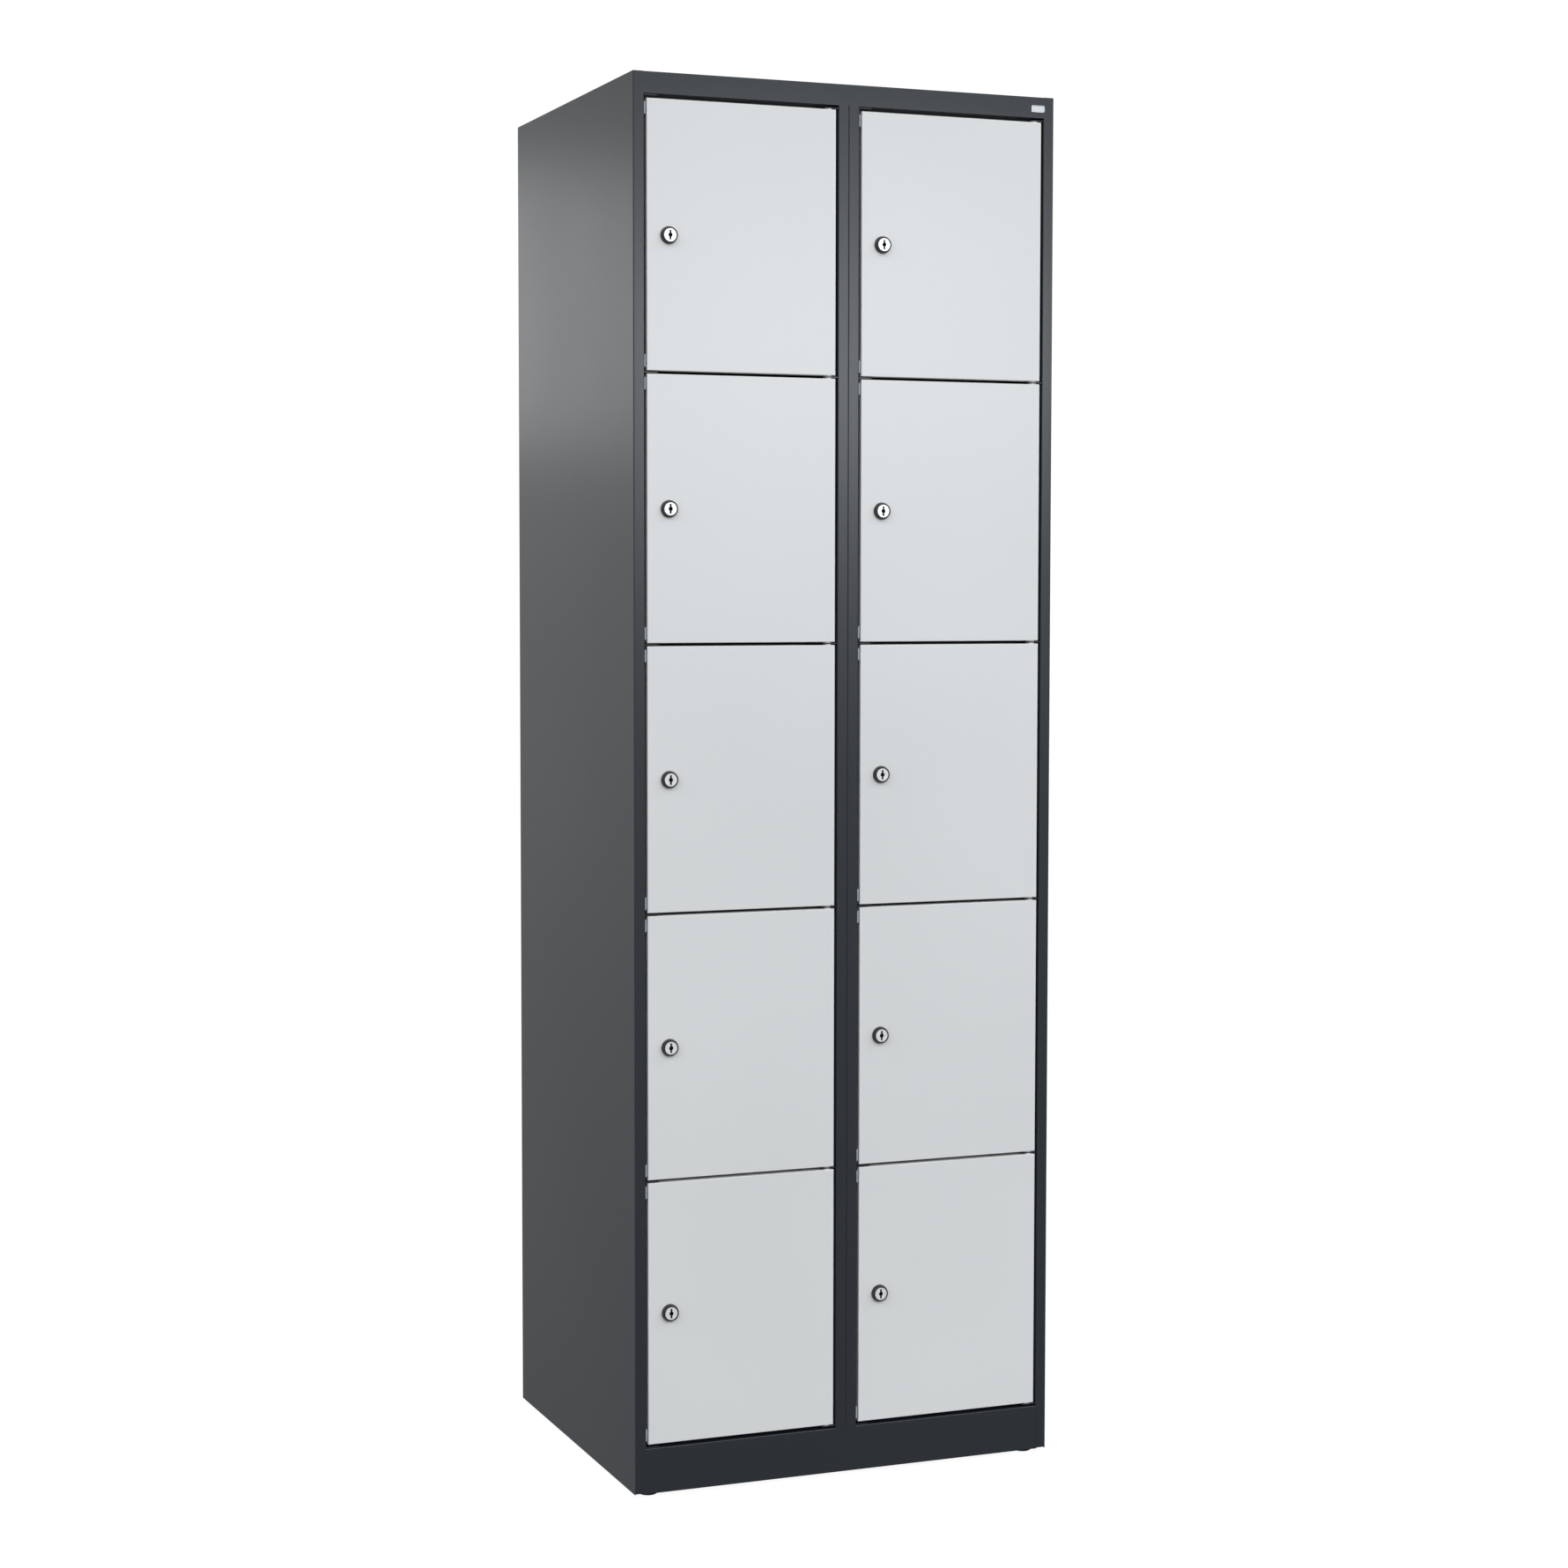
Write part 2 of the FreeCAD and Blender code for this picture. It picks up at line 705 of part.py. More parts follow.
def lock_plug(tag):
    """The turning cylinder: front disc with the keyhole, barrel, and square tail for the cam."""
    body = new_body(f"plug_{tag}")
    disc_front = "face_recess - lock_reach"
    disc_back = f"{disc_front} + face_thickness"
    profile = [
        (disc_front, "0"),
        (disc_front, "face_disc / 2"),
        (disc_back, "face_disc / 2"),
        (disc_back, "plug / 2"),
        (CAM_FRONT, "plug / 2"),
        (CAM_FRONT, "0"),
    ]
    turn(body, "YZ", "H", profile)
    square = "cam_square / 2"
    tail = rectangle(f"-{square}", f"-{square}", square, square)
    add_pad(body, "XZ", CAM_FRONT, "cam_sheet", [tail])
    slot = rectangle("-key_slot_width / 2", "-key_slot / 2", "key_slot_width / 2", "key_slot / 2")
    cut_pocket(body, "XZ", disc_front, "key_depth", [slot])
    cut_pocket(body, "XZ", disc_front, "key_depth", circles=[("0", "0", "key_circle")])
    rings = [("0", "0", "face_ring"), ("0", "0", "face_ring - 2 * face_ring_width")]
    cut_pocket(body, "XZ", disc_front, "face_ring_depth", circles=rings)
    screw_hole = ("0", "0", "cam_screw + 2 * fixed_gap")
    screw_start = f"{CAM_FRONT} + cam_sheet - cam_screw_depth"
    cut_pocket(body, "XZ", screw_start, "cam_screw_depth", circles=[screw_hole])
    return body


def lock_cam(tag):
    """The flat cam, pointing down when the lock is open."""
    body = new_body(f"cam_{tag}")
    blade = rectangle("-cam_width / 2", "-cam_length", "cam_width / 2", "0")
    add_pad(body, "XZ", CAM_FRONT, "cam_sheet", [blade])
    add_pad(body, "XZ", CAM_FRONT, "cam_sheet", circles=[("0", "0", "cam_width")])
    square = "(cam_square / 2 + fixed_gap)"
    hole = rectangle(f"-{square}", f"-{square}", square, square)
    cut_pocket(body, "XZ", CAM_FRONT, "cam_sheet", [hole])
    return body


def cam_screw(tag):
    body = new_body(f"cam_screw_{tag}")
    head_front = f"{CAM_FRONT} + cam_sheet"
    profile = [
        (f"{head_front} - cam_screw_depth + running_gap", "0"),
        (f"{head_front} - cam_screw_depth + running_gap", "cam_screw / 2"),
        (head_front, "cam_screw / 2"),
        (head_front, "cam_screw_head / 2"),
        (f"{head_front} + cam_screw_head_height", "cam_screw_head / 2"),
        (f"{head_front} + cam_screw_head_height", "0"),
    ]
    turn(body, "YZ", "H", profile)
    return body


def lock_cylinder(column, row):
    tag = f"{column}{row}"
    cylinder = group(f"lock_cylinder_{tag}", [lock_plug(tag), lock_cam(tag), cam_screw(tag)])
    place_on_lock(cylinder, column, row)
    return cylinder


# ---- feet and plate ----------------------------------------------------------------------------

def levelling_foot(spot, x, y):
    """A plastic foot on a steel stud that runs in the welded nut."""
    disc = new_body("foot_disc_" + spot)
    profile = [
        ("0", "0"),
        ("foot_disc / 2", "0"),
        ("foot_disc / 2", "foot_rim"),
        ("foot_neck / 2", "foot_height"),
        ("stud / 2 + fixed_gap", "foot_height"),
        ("stud / 2 + fixed_gap", "foot_socket"),
        ("0", "foot_socket"),
    ]
    turn(disc, "XZ", "V", profile)
    stud = new_body("foot_stud_" + spot)
    add_pad(stud, "XY", "foot_socket", "stud_top - foot_socket", circles=[("0", "0", "stud")])
    foot = group("foot_" + spot, [disc, stud])
    place(foot, x, f"{FRONT} + {y}")
    return foot


def maker_plate():
    """A small blank plate on the top rail, with rounded corners."""
    body = new_body("maker_plate")
    wide, high = "plate_width / 2", "plate_height / 2"
    outline = rectangle(f"-{wide}", f"-{high}", wide, high)
    add_pad(body, "XZ", "-plate_thickness", "plate_thickness", [outline])
    round_edges(body, "plate_corner", lambda start, end: not near(start.y, end.y))
    place(body, "width / 2 - plate_inset", FRONT, "height - plate_drop")
    return publish(body, "maker_plate")


# ---- the whole locker --------------------------------------------------------------------------

side_panel("side_panel_left", "1", "-width / 2")
side_panel("side_panel_right", "-1", "width / 2")
partition("partition_left", "-1")
partition("partition_right", "1")
roof_panel()
plinth_rail()
base_panel()
back_panel()
for level in range(1, int(number("rows"))):
    shelves(level)
hinge_tabs()
hinge_pins()
door_buffers()
for column in COLUMNS:
    for row in range(1, int(number("rows")) + 1):
        door(column, row)
        hinge_bushes(column, row)
        lock_case(column, row)
        lock_cylinder(column, row)
for spot, (x, y) in foot_places().items():
    levelling_foot(spot, x, y)
maker_plate()

doc.recompute()
for item in doc.Objects:
    if {"Invalid", "Error"} & set(item.State):
        users = [user.Label for user in item.InList]
        raise RuntimeError(f"{item.Name} in {users} did not compute: {item.State}")
for cut in cuts:
    if cut.Shape.Volume >= cut.BaseFeature.Shape.Volume:
        raise RuntimeError(f"{cut.Name} cuts nothing")

os.makedirs("parts", exist_ok=True)
for part in sub_parts:
    shape = part.Shape
    if shape.isNull() or not shape.isValid() or not shape.Solids:
        raise RuntimeError(f"{part.Label} is not a valid solid")
    shape.exportStep(f"parts/{part.Label}.step")
box = Part.makeCompound([part.Shape for part in sub_parts]).BoundBox
print(f"{len(sub_parts)} sub-parts, box {box.XLength:.2f} x {box.YLength:.2f} x {box.ZLength:.2f}")
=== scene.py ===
import math

import bpy
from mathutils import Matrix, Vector


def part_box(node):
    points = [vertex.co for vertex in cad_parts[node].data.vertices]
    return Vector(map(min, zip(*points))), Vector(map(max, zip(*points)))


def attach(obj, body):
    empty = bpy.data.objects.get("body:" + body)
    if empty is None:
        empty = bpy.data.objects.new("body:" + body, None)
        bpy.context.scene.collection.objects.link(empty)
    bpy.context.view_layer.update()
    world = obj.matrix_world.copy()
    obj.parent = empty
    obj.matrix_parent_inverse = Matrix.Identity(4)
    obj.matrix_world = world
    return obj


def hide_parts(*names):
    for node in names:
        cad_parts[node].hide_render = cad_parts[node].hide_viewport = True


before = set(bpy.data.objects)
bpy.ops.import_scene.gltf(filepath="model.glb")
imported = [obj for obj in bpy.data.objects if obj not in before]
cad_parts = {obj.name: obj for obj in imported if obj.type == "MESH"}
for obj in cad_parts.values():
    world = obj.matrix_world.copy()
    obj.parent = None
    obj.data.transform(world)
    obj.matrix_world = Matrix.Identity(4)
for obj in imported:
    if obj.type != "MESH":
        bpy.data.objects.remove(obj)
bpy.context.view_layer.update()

# A steel locker with ten compartments: a folded anthracite carcass, light grey doors on pin hinges,
# cylinder cam locks, rubber buffers and levelling feet. Metres, doors towards -Y, floor at z = 0.

X, Y, Z = Vector((1, 0, 0)), Vector((0, 1, 0)), Vector((0, 0, 1))
COLUMNS = "AB"
ROWS = range(1, 6)

# How close two places, and two points of a mesh, are when they count as one
SAME_PLACE = 2e-5
SAME_POINT = 1e-6
HAIR = 1e-5

# How much of a face's normal lies along an axis when the face looks that way
SQUARE_ON = 0.9

# Folded sheet
SHEET = 0.0008
BEND = 0.0012
SEAM_BEND = 0.0009
STILE = 0.015
STOP_DEPTH = 0.022
STOP_LIP = 0.010
REAR_FLANGE = 0.015
CORNER_NOTCH = 0.0014
DOOR_LIP = 0.010
TOE_RETURN = 0.008
FOOT_LEDGE = 0.045
FOOT_HOLE = 0.0055
WALL_HOLE = 0.0045
WALL_HOLE_SPREAD = 0.225
WALL_HOLE_DROP = 0.060

# Hinges and buffers
SIDE_GAP = 0.0035
HALF_ROW_GAP = 0.002
TAB_SHEET = 0.0015
TAB_REACH = 0.020
TAB_SETBACK = 0.0015
TAB_CORNER = 0.003
PIN = 0.0025
PIN_PLAY = 0.00002
PIN_SETBACK = 0.007
PIN_REACH = 0.01175
BUSH_HOLE = 0.00405
BUFFER_HEIGHT = 0.016
BUFFER_MARGIN = 0.0045

# Locks
LOCK_REACH = 0.006
LOCK_HOLE = 0.00955
CAM_FRONT = 0.0233
CAM_SHEET = 0.0025
KEY_SLOT_HALF = (0.00125, 0.0063)
KEY_CIRCLE = 0.0029
# Radius and depths behind the lock face within which the keyway is painted near black as painted
# shade
KEYWAY_SHADE_REACH = 0.0066
KEYWAY_SHADE_START = 0.0004
KEYWAY_SHADE_END = 0.0085

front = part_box("roof_panel")[0].y
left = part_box("side_panel_left")[0].x
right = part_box("side_panel_right")[1].x
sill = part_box("partition_left")[0].z
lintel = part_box("roof_panel")[0].z + STOP_LIP


# ---- working on a piece ------------------------------------------------------------------------

def near(first, second):
    """Whether two places on an axis are the same."""
    return abs(first - second) < SAME_PLACE


def activate(piece):
    """Make the piece the only one that is selected, and the active one."""
    if bpy.context.mode != "OBJECT":
        bpy.ops.object.mode_set(mode="OBJECT")
    bpy.ops.object.select_all(action="DESELECT")
    piece.select_set(True)
    bpy.context.view_layer.objects.active = piece


def set_place():
    """Put the selected piece's place, turn and size into its mesh."""
    bpy.ops.object.transform_apply(location=True, rotation=True, scale=True)


def start_box(name, low, high):
    """A box between two corners, from which a piece is folded or cut."""
    bpy.ops.object.select_all(action="DESELECT")
    low, high = Vector(low), Vector(high)
    bpy.ops.mesh.primitive_cube_add(size=1, location=(low + high) / 2, scale=high - low)
    piece = bpy.context.object
    piece.name = piece.data.name = name
    set_place()
    return piece


def edit(piece, kind, chosen):
    """Edit mode with only the edges or faces selected that chosen accepts."""
    activate(piece)
    mesh = piece.data
    for parts in (mesh.vertices, mesh.edges, mesh.polygons):
        parts.foreach_set("select", [False] * len(parts))
    if kind == "FACE":
        for face in mesh.polygons:
            face.select = chosen(face.center, face.normal)
    else:
        for edge in mesh.edges:
            edge.select = chosen(*(mesh.vertices[index].co for index in edge.vertices))
    bpy.context.tool_settings.mesh_select_mode = (False, kind == "EDGE", kind == "FACE")
    bpy.ops.object.mode_set(mode="EDIT")


def edit_all(piece):
    """Edit mode with every face selected."""
    edit(piece, "FACE", lambda centre, normal: True)


def leave_edit():
    bpy.ops.object.mode_set(mode="OBJECT")


def remove_faces(piece, chosen):
    """Take away the faces that chosen accepts."""
    edit(piece, "FACE", chosen)
    bpy.ops.mesh.delete(type="FACE")
    leave_edit()


def edge_at(x=None, y=None, z=None):
    """A test for edges that lie at the given places on the axes."""
    wanted = [(axis, place) for axis, place in enumerate((x, y, z)) if place is not None]
    return lambda a, b: all(near(a[axis], place) and near(b[axis], place) for axis, place in wanted)


def edge_along_y(z=None):
    """A test for edges that run along Y, at one height if it is given."""
    return lambda a, b: near(a.x, b.x) and near(a.z, b.z) and (z is None or near(a.z, z))


def any_edge(*tests):
    return lambda a, b: any(test(a, b) for test in tests)


def start_wall(name, low, high, facing):
    """One wall of a box, the one that looks along facing."""
    piece = start_box(name, low, high)
    remove_faces(piece, lambda centre, normal: normal.dot(facing) < SQUARE_ON)
    return piece


def fold_out(piece, start, *moves):
    """Extrude an edge of the sheet, one fold after another."""
    edit(piece, "EDGE", start)
    for move in moves:
        bpy.ops.mesh.extrude_edges_move(TRANSFORM_OT_translate={"value": move})
    leave_edit()


def round_folds(piece, radius, chosen, steps=4):
    """Bend the chosen edges to a radius."""
    edit(piece, "EDGE", chosen)
    bpy.ops.mesh.bevel(
        offset=radius, offset_type="OFFSET", segments=steps, profile=0.5, affect="EDGES"
    )
    leave_edit()


def cut_line(piece, axis, level):
    """A cut all across the sheet, which leaves it in one piece."""
    edit_all(piece)
    bpy.ops.mesh.bisect(plane_co=axis * level, plane_no=axis)
    leave_edit()


def look_along(piece, facing):
    """Turn the faces one way, so that the largest one looks along facing."""
    edit_all(piece)
    bpy.ops.mesh.normals_make_consistent(inside=False)
    leave_edit()
    largest = max(piece.data.polygons, key=lambda face: face.area)
    if largest.normal.dot(facing) < 0:
        edit_all(piece)
        bpy.ops.mesh.flip_normals()
        leave_edit()


def close_normals(piece):
    """Merge the doubles, then turn every face outwards."""
    edit_all(piece)
    bpy.ops.mesh.remove_doubles(threshold=SAME_POINT)
    bpy.ops.mesh.normals_make_consistent(inside=False)
    leave_edit()


def apply_modifiers(piece):
    """Work the modifiers into the mesh."""
    activate(piece)
    for modifier in list(piece.modifiers):
        bpy.ops.object.modifier_apply(modifier=modifier.name)


def thicken(piece):
    """Give the sheet its thickness behind the faces that show."""
    modifier = piece.modifiers.new("sheet", "SOLIDIFY")
    modifier.thickness = SHEET
    modifier.offset = -1
    modifier.use_even_offset = True
    modifier.use_quality_normals = True
    apply_modifiers(piece)


def soften(piece, width, steps=2, angle=40):
    """Break every edge that is sharper than the angle."""
    modifier = piece.modifiers.new("edges", "BEVEL")
    modifier.width = width
    modifier.segments = steps
    modifier.limit_method = "ANGLE"
    modifier.angle_limit = math.radians(angle)
    modifier.use_clamp_overlap = True
    apply_modifiers(piece)


def boolean(piece, cutter, operation="DIFFERENCE"):
    """Combine the piece with a cutter, which is used up."""
    modifier = piece.modifiers.new("cut", "BOOLEAN")
    modifier.operation = operation
    modifier.solver = "EXACT"
    modifier.object = cutter
    apply_modifiers(piece)
    bpy.data.objects.remove(cutter)


def turning(axis):
    """The rotation that brings +Z to the axis."""
    return axis.to_track_quat("Z", "Y").to_euler()


def start_rod(radius, centre, axis, length, steps):
    """A cylinder or prism about centre, with which a piece is cut."""
    bpy.ops.object.select_all(action="DESELECT")
    bpy.ops.mesh.primitive_cylinder_add(
        vertices=steps, radius=radius, depth=length, location=centre, rotation=turning(axis)
    )
    set_place()
    return bpy.context.object


def drill(piece, radius, centre, axis, depth, steps=32):
    """A round hole through centre along the axis, as deep as depth on each side."""
    boolean(piece, start_rod(radius, centre, axis, 2 * depth, steps))


def turned(name, centre, axis, rings, steps=48):
    """A turned piece from rings of (radius, place along the axis).

    It is closed by end faces, or into a tube where the last ring is the first one again.
    """
    centre = Vector(centre)
    tube = rings[0] == rings[-1]
    radius, place = rings[0]
    bpy.ops.object.select_all(action="DESELECT")
    bpy.ops.mesh.primitive_circle_add(
        vertices=steps,
        radius=radius,
        fill_type="NOTHING" if tube else "NGON",
        location=centre + axis * place,
        rotation=turning(axis),
    )
    piece = bpy.context.object
    piece.name = piece.data.name = name
    set_place()
    edit(piece, "EDGE", lambda a, b: True)
    for (radius, place), (next_radius, next_place) in zip(rings, rings[1:]):
        move = axis * (next_place - place)
        bpy.ops.mesh.extrude_edges_move(TRANSFORM_OT_translate={"value": move})
        if next_radius != radius:
            bpy.ops.transform.resize(
                value=(next_radius / radius,) * 3, center_override=centre + axis * next_place
            )
    if not tube:
        bpy.ops.mesh.edge_face_add()
    leave_edit()
    close_normals(piece)
    return piece


def copy_piece(piece, name, move):
    """A copy with its own mesh, moved."""
    activate(piece)
    bpy.ops.object.duplicate(linked=False)
    copy = bpy.context.object
    copy.name = copy.data.name = name
    bpy.ops.transform.translate(value=move)
    set_place()
    return copy


def join(name, pieces):
    """Make one piece of several."""
    activate(pieces[0])
    for piece in pieces:
        piece.select_set(True)
    bpy.ops.object.join()
    pieces[0].name = pieces[0].data.name = name
    return pieces[0]


def polish(piece, material, angle=30):
    """Smooth shading between flat faces, and the finish."""
    activate(piece)
    bpy.ops.object.shade_smooth_by_angle(angle=math.radians(angle))
    modifier = piece.modifiers.new("shading", "WEIGHTED_NORMAL")
    modifier.keep_sharp = True
    apply_modifiers(piece)
    piece.data.materials.clear()
    piece.data.materials.append(material)
    return piece


def fit(piece, body, *nodes):
    """Put a finished piece on its body, in the place of CAD nodes."""
    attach(piece, body)
    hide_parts(*nodes)


# ---- finishes ----------------------------------------------------------------------------------

ORANGE_PEEL = 0.00003
# Near black painted into the lock's keyway as the painted shade of that recess
KEYWAY_PAINTED_SHADE = (0.02, 0.02, 0.02)


class Wire:
    """One value in a material. Sums on wires add Math nodes."""

    def __init__(self, tree, socket):
        self.tree = tree
        self.socket = socket

    def node(self, kind, settings=None, values=None, output=0):
        """Add a node, make its settings, then fill or link its sockets, and take one output."""
        made = self.tree.nodes.new(kind)
        for setting, value in (settings or {}).items():
            if setting == "stops":
                ramp = made.color_ramp.elements
                for stop, (place, colour) in zip([ramp[0], ramp[1]], value):
                    stop.position, stop.color = place, colour
                for place, colour in value[2:]:
                    ramp.new(place).color = colour
            else:
                setattr(made, setting, value)
        for place, value in (values or {}).items():
            if isinstance(value, Wire):
                self.tree.links.new(value.socket, made.inputs[place])
            else:
                made.inputs[place].default_value = value
        return Wire(self.tree, made.outputs[output]) if made.outputs else None

    def math(self, operation, first, second=0.0):
        return self.node("ShaderNodeMath", {"operation": operation}, {0: first, 1: second})

    def __add__(self, other):
        return self.math("ADD", self, other)

    __radd__ = __add__

    def __sub__(self, other):
        return self.math("SUBTRACT", self, other)

    def __rsub__(self, other):
        return self.math("SUBTRACT", other, self)

    def __mul__(self, other):
        return self.math("MULTIPLY", self, other)

    __rmul__ = __mul__

    def __mod__(self, other):
        return self.math("FLOORED_MODULO", self, other)

    def __pow__(self, other):
        return self.math("POWER", self, other)

    def __lt__(self, other):
        return self.math("LESS_THAN", self, other)

    def __gt__(self, other):
        return self.math("GREATER_THAN", self, other)

    def noise(self, scale, detail=2.0, roughness=0.5):
        settings = {"noise_dimensions": "3D"}
        values = {"Vector": self, "Scale": scale, "Detail": detail, "Roughness": roughness}
        return self.node("ShaderNodeTexNoise", settings, values)

    def stretched(self, x, y, z):
        return self.node("ShaderNodeMapping", {}, {"Vector": self, "Scale": (x, y, z)})

    def axis(self, name):
        return self.node("ShaderNodeSeparateXYZ", {}, {"Vector": self}, output=name)

    def between(self, low, high):
        """Colours from low to high as this value goes from 0 to 1."""
        values = {0: self, 6: (*low, 1), 7: (*high, 1)}
        return self.node("ShaderNodeMix", {"data_type": "RGBA"}, values, output=2)

    def bump(self, height):
        """Relief as high as height, in metres."""
        values = {"Height": self, "Distance": height, "Strength": 1.0}
        return self.node("ShaderNodeBump", {}, values)


def shade(colour, factor):
    """The colour made darker or lighter."""
    return tuple(min(1.0, part * factor) for part in colour)


def new_finish(name):
    """A material with the object's coordinates to build on."""
    material = bpy.data.materials.new(name + "_finish")
    material["slot"] = name
    material.use_nodes = True
    tree = material.node_tree
    place = Wire(tree, tree.nodes.new("ShaderNodeTexCoord").outputs["Object"])
    return material, place


def set_finish(material, **values):
    """Constants and wires for the shader's own sockets."""
    shader = material.node_tree.nodes["Principled BSDF"]
    for name, value in values.items():
        socket = shader.inputs[name.replace("_", " ")]
        if isinstance(value, Wire):
            material.node_tree.links.new(value.socket, socket)
        else:
            socket.default_value = value
    return material


def powder_coat(name, colour, roughness):
    """Baked powder paint: orange peel over a millimetre across, fine grain, slow drift of tone."""
    material, place = new_finish(name)
    drift = place.noise(3.0, detail=1.0)
    grain = place.noise(1400.0, detail=1.0)
    skin = place.noise(620.0, roughness=0.45)
    tone = 0.5 + (drift - 0.5) * 0.9 + (grain - 0.5) * 0.5
    return set_finish(
        material,
        Base_Color=tone.between(shade(colour, 0.94), shade(colour, 1.06)),
        Roughness=roughness + (drift - 0.5) * 0.06 + (skin - 0.5) * 0.12,
        Normal=skin.bump(ORANGE_PEEL),
    )


def moulded_plastic(name, colour, roughness, grain_size=1100.0, depth=0.00001):
    """Moulded polymer with the fine grain of the tool and a slightly mottled gloss."""
    material, place = new_finish(name)
    cloud = place.noise(120.0)
    grain = place.noise(grain_size)
    return set_finish(
        material,
        Base_Color=cloud.between(shade(colour, 0.9), shade(colour, 1.1)),
        Roughness=roughness + (cloud - 0.5) * 0.1 + (grain - 0.5) * 0.1,
        Normal=grain.bump(depth),
    )


def turned_nickel(name, colour):
    """Satin plating with fine turning marks about each lock's axis, and the keyway's inside painted
    near black as painted shade.
    """
    material, place = new_finish(name)
    low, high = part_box("lock_cylinder_B5")
    centre = (low + high) / 2
    pitch_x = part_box("door_B1")[0].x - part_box("door_A1")[0].x
    pitch_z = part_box("door_A1")[0].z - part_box("door_A2")[0].z
    door_low, door_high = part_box("door_B5")
    x = (place.axis("X") - (centre.x - pitch_x / 2)) % pitch_x - pitch_x / 2
    z = (place.axis("Z") - ((door_low.z + door_high.z) / 2 - pitch_z / 2)) % pitch_z - pitch_z / 2
    radius = (x * x + z * z) ** 0.5
    marks = radius.node(
        "ShaderNodeTexNoise",
        {"noise_dimensions": "1D"},
        {"W": radius, "Scale": 5200.0, "Detail": 2.0},
    )
    cloud = place.noise(160.0)
    depth = place.axis("Y") - low.y
    # Painted shade: inside the keyway the metal is painted near black and made not metallic
    painted_keyway_shade = (radius < KEYWAY_SHADE_REACH) * (depth > KEYWAY_SHADE_START) * (depth < KEYWAY_SHADE_END)
    outside_painted_shade = 1 - painted_keyway_shade
    return set_finish(
        material,
        Base_Color=(outside_painted_shade * (0.92 + cloud * 0.08)).between(KEYWAY_PAINTED_SHADE, shade(colour, 1.03)),
        Metallic=outside_painted_shade * 0.3,
        Roughness=0.24 + (marks - 0.5) * 0.16 + (cloud - 0.5) * 0.06,
        Normal=marks.bump(0.000006),
    )


def zinc_plate(name, colour):
    """Bright zinc over steel, with faint cloudy patches and drawn-sheet grain."""
    material, place = new_finish(name)
    cloud = place.noise(210.0, detail=3.0)
    grain = place.stretched(1.0, 6.0, 1.0).noise(700.0)
    return set_finish(
        material,
        Base_Color=cloud.between(shade(colour, 0.86), shade(colour, 1.08)),
        Metallic=1.0,
        Roughness=0.36 + (cloud - 0.5) * 0.16 + (grain - 0.5) * 0.1,
        Normal=grain.bump(0.000008),
    )


def brushed_aluminium(name, colour):
    """Anodised sheet brushed along its length."""
    material, place = new_finish(name)
    brush = place.stretched(0.04, 1.0, 1.0).noise(6000.0, detail=3.0)
    cloud = place.noise(90.0)
    return set_finish(
        material,
        Base_Color=brush.between(shade(colour, 0.92), shade(colour, 1.06)),
        Metallic=1.0,
        Roughness=0.34 + (brush - 0.5) * 0.2 + (cloud - 0.5) * 0.05,
        Normal=brush.bump(0.000006),
    )


anthracite = powder_coat("carcass_paint", (0.017, 0.022, 0.028), 0.30)
light_grey = powder_coat("door_paint", (0.80, 0.81, 0.81), 0.34)
lock_black = moulded_plastic("lock_plastic", (0.012, 0.012, 0.013), 0.34)
nickel = turned_nickel("lock_metal", (0.93, 0.93, 0.92))
zinc = zinc_plate("zinc_steel", (0.60, 0.61, 0.63))
nylon = moulded_plastic("bush_nylon", (0.80, 0.80, 0.78), 0.42)
rubber = moulded_plastic("buffer_rubber", (0.40, 0.42, 0.43), 0.72, grain_size=900.0, depth=0.00003)
foot_black = moulded_plastic("foot_plastic", (0.014, 0.014, 0.015), 0.5)
aluminium = brushed_aluminium("plate_aluminium", (0.52, 0.53, 0.54))


# ---- carcass -----------------------------------------------------------------------------------

def fold_upright(piece, x, side, low_y, high_y, corner=BEND):
    """Front face, door stop return and lip on one edge of a wall, a rear flange on the other."""
    face = x + side * STILE
    stop = low_y + STOP_DEPTH
    fold_out(piece, edge_at(x, low_y), X * side * STILE, Y * STOP_DEPTH, X * side * STOP_LIP)
    fold_out(piece, edge_at(x, high_y), X * side * REAR_FLANGE)
    look_along(piece, X * -side)
    round_folds(piece, corner, edge_at(x, low_y))
    round_folds(piece, BEND, any_edge(edge_at(face, low_y), edge_at(x, high_y)))
    round_folds(piece, BEND - SHEET, edge_at(face, stop))


def side_wall(name, node, side):
    """An outer wall with its front face cut back beside the rails."""
    low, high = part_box(node)
    x = low.x if side > 0 else high.x
    piece = start_wall(name, low, high, X * -side)
    fold_upright(piece, x, side, low.y, high.y)
    notch = low.z + CORNER_NOTCH
    for level in (sill, lintel, notch):
        cut_line(piece, Z, level)
    beyond = STILE - BEND
    remove_faces(
        piece,
        lambda centre, normal: abs(centre.x - x) > beyond and centre.y < low.y + STOP_DEPTH + BEND
        and not sill < centre.z < lintel,
    )
    remove_faces(piece, lambda centre, normal: centre.y < low.y + BEND and centre.z < notch)
    thicken(piece)
    fit(polish(piece, anthracite), "carcass", node)


def post_half(name, node, side):
    """Half of the middle wall. Its front face runs on over the folds of both rails."""
    low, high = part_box(node)
    near_wall, far_wall = sorted((0, side * STILE))
    piece = start_wall(name, (near_wall, low.y, low.z), (far_wall, high.y, high.z), X * -side)
    fold_upright(piece, 0, side, low.y, high.y, SEAM_BEND)
    cut_line(piece, Z, lintel)
    remove_faces(piece, lambda centre, normal: centre.y < low.y + STOP_DEPTH and centre.z > lintel)
    for level, reach in ((lintel, BEND), (sill, -BEND)):
        cut = edge_at(z=level)
        beyond = low.y + BEND + HAIR
        fold_out(piece, lambda a, b: cut(a, b) and max(a.y, b.y) < beyond, Z * reach)
    look_along(piece, X * -side)
    thicken(piece)
    fit(polish(piece, anthracite), "carcass", node)


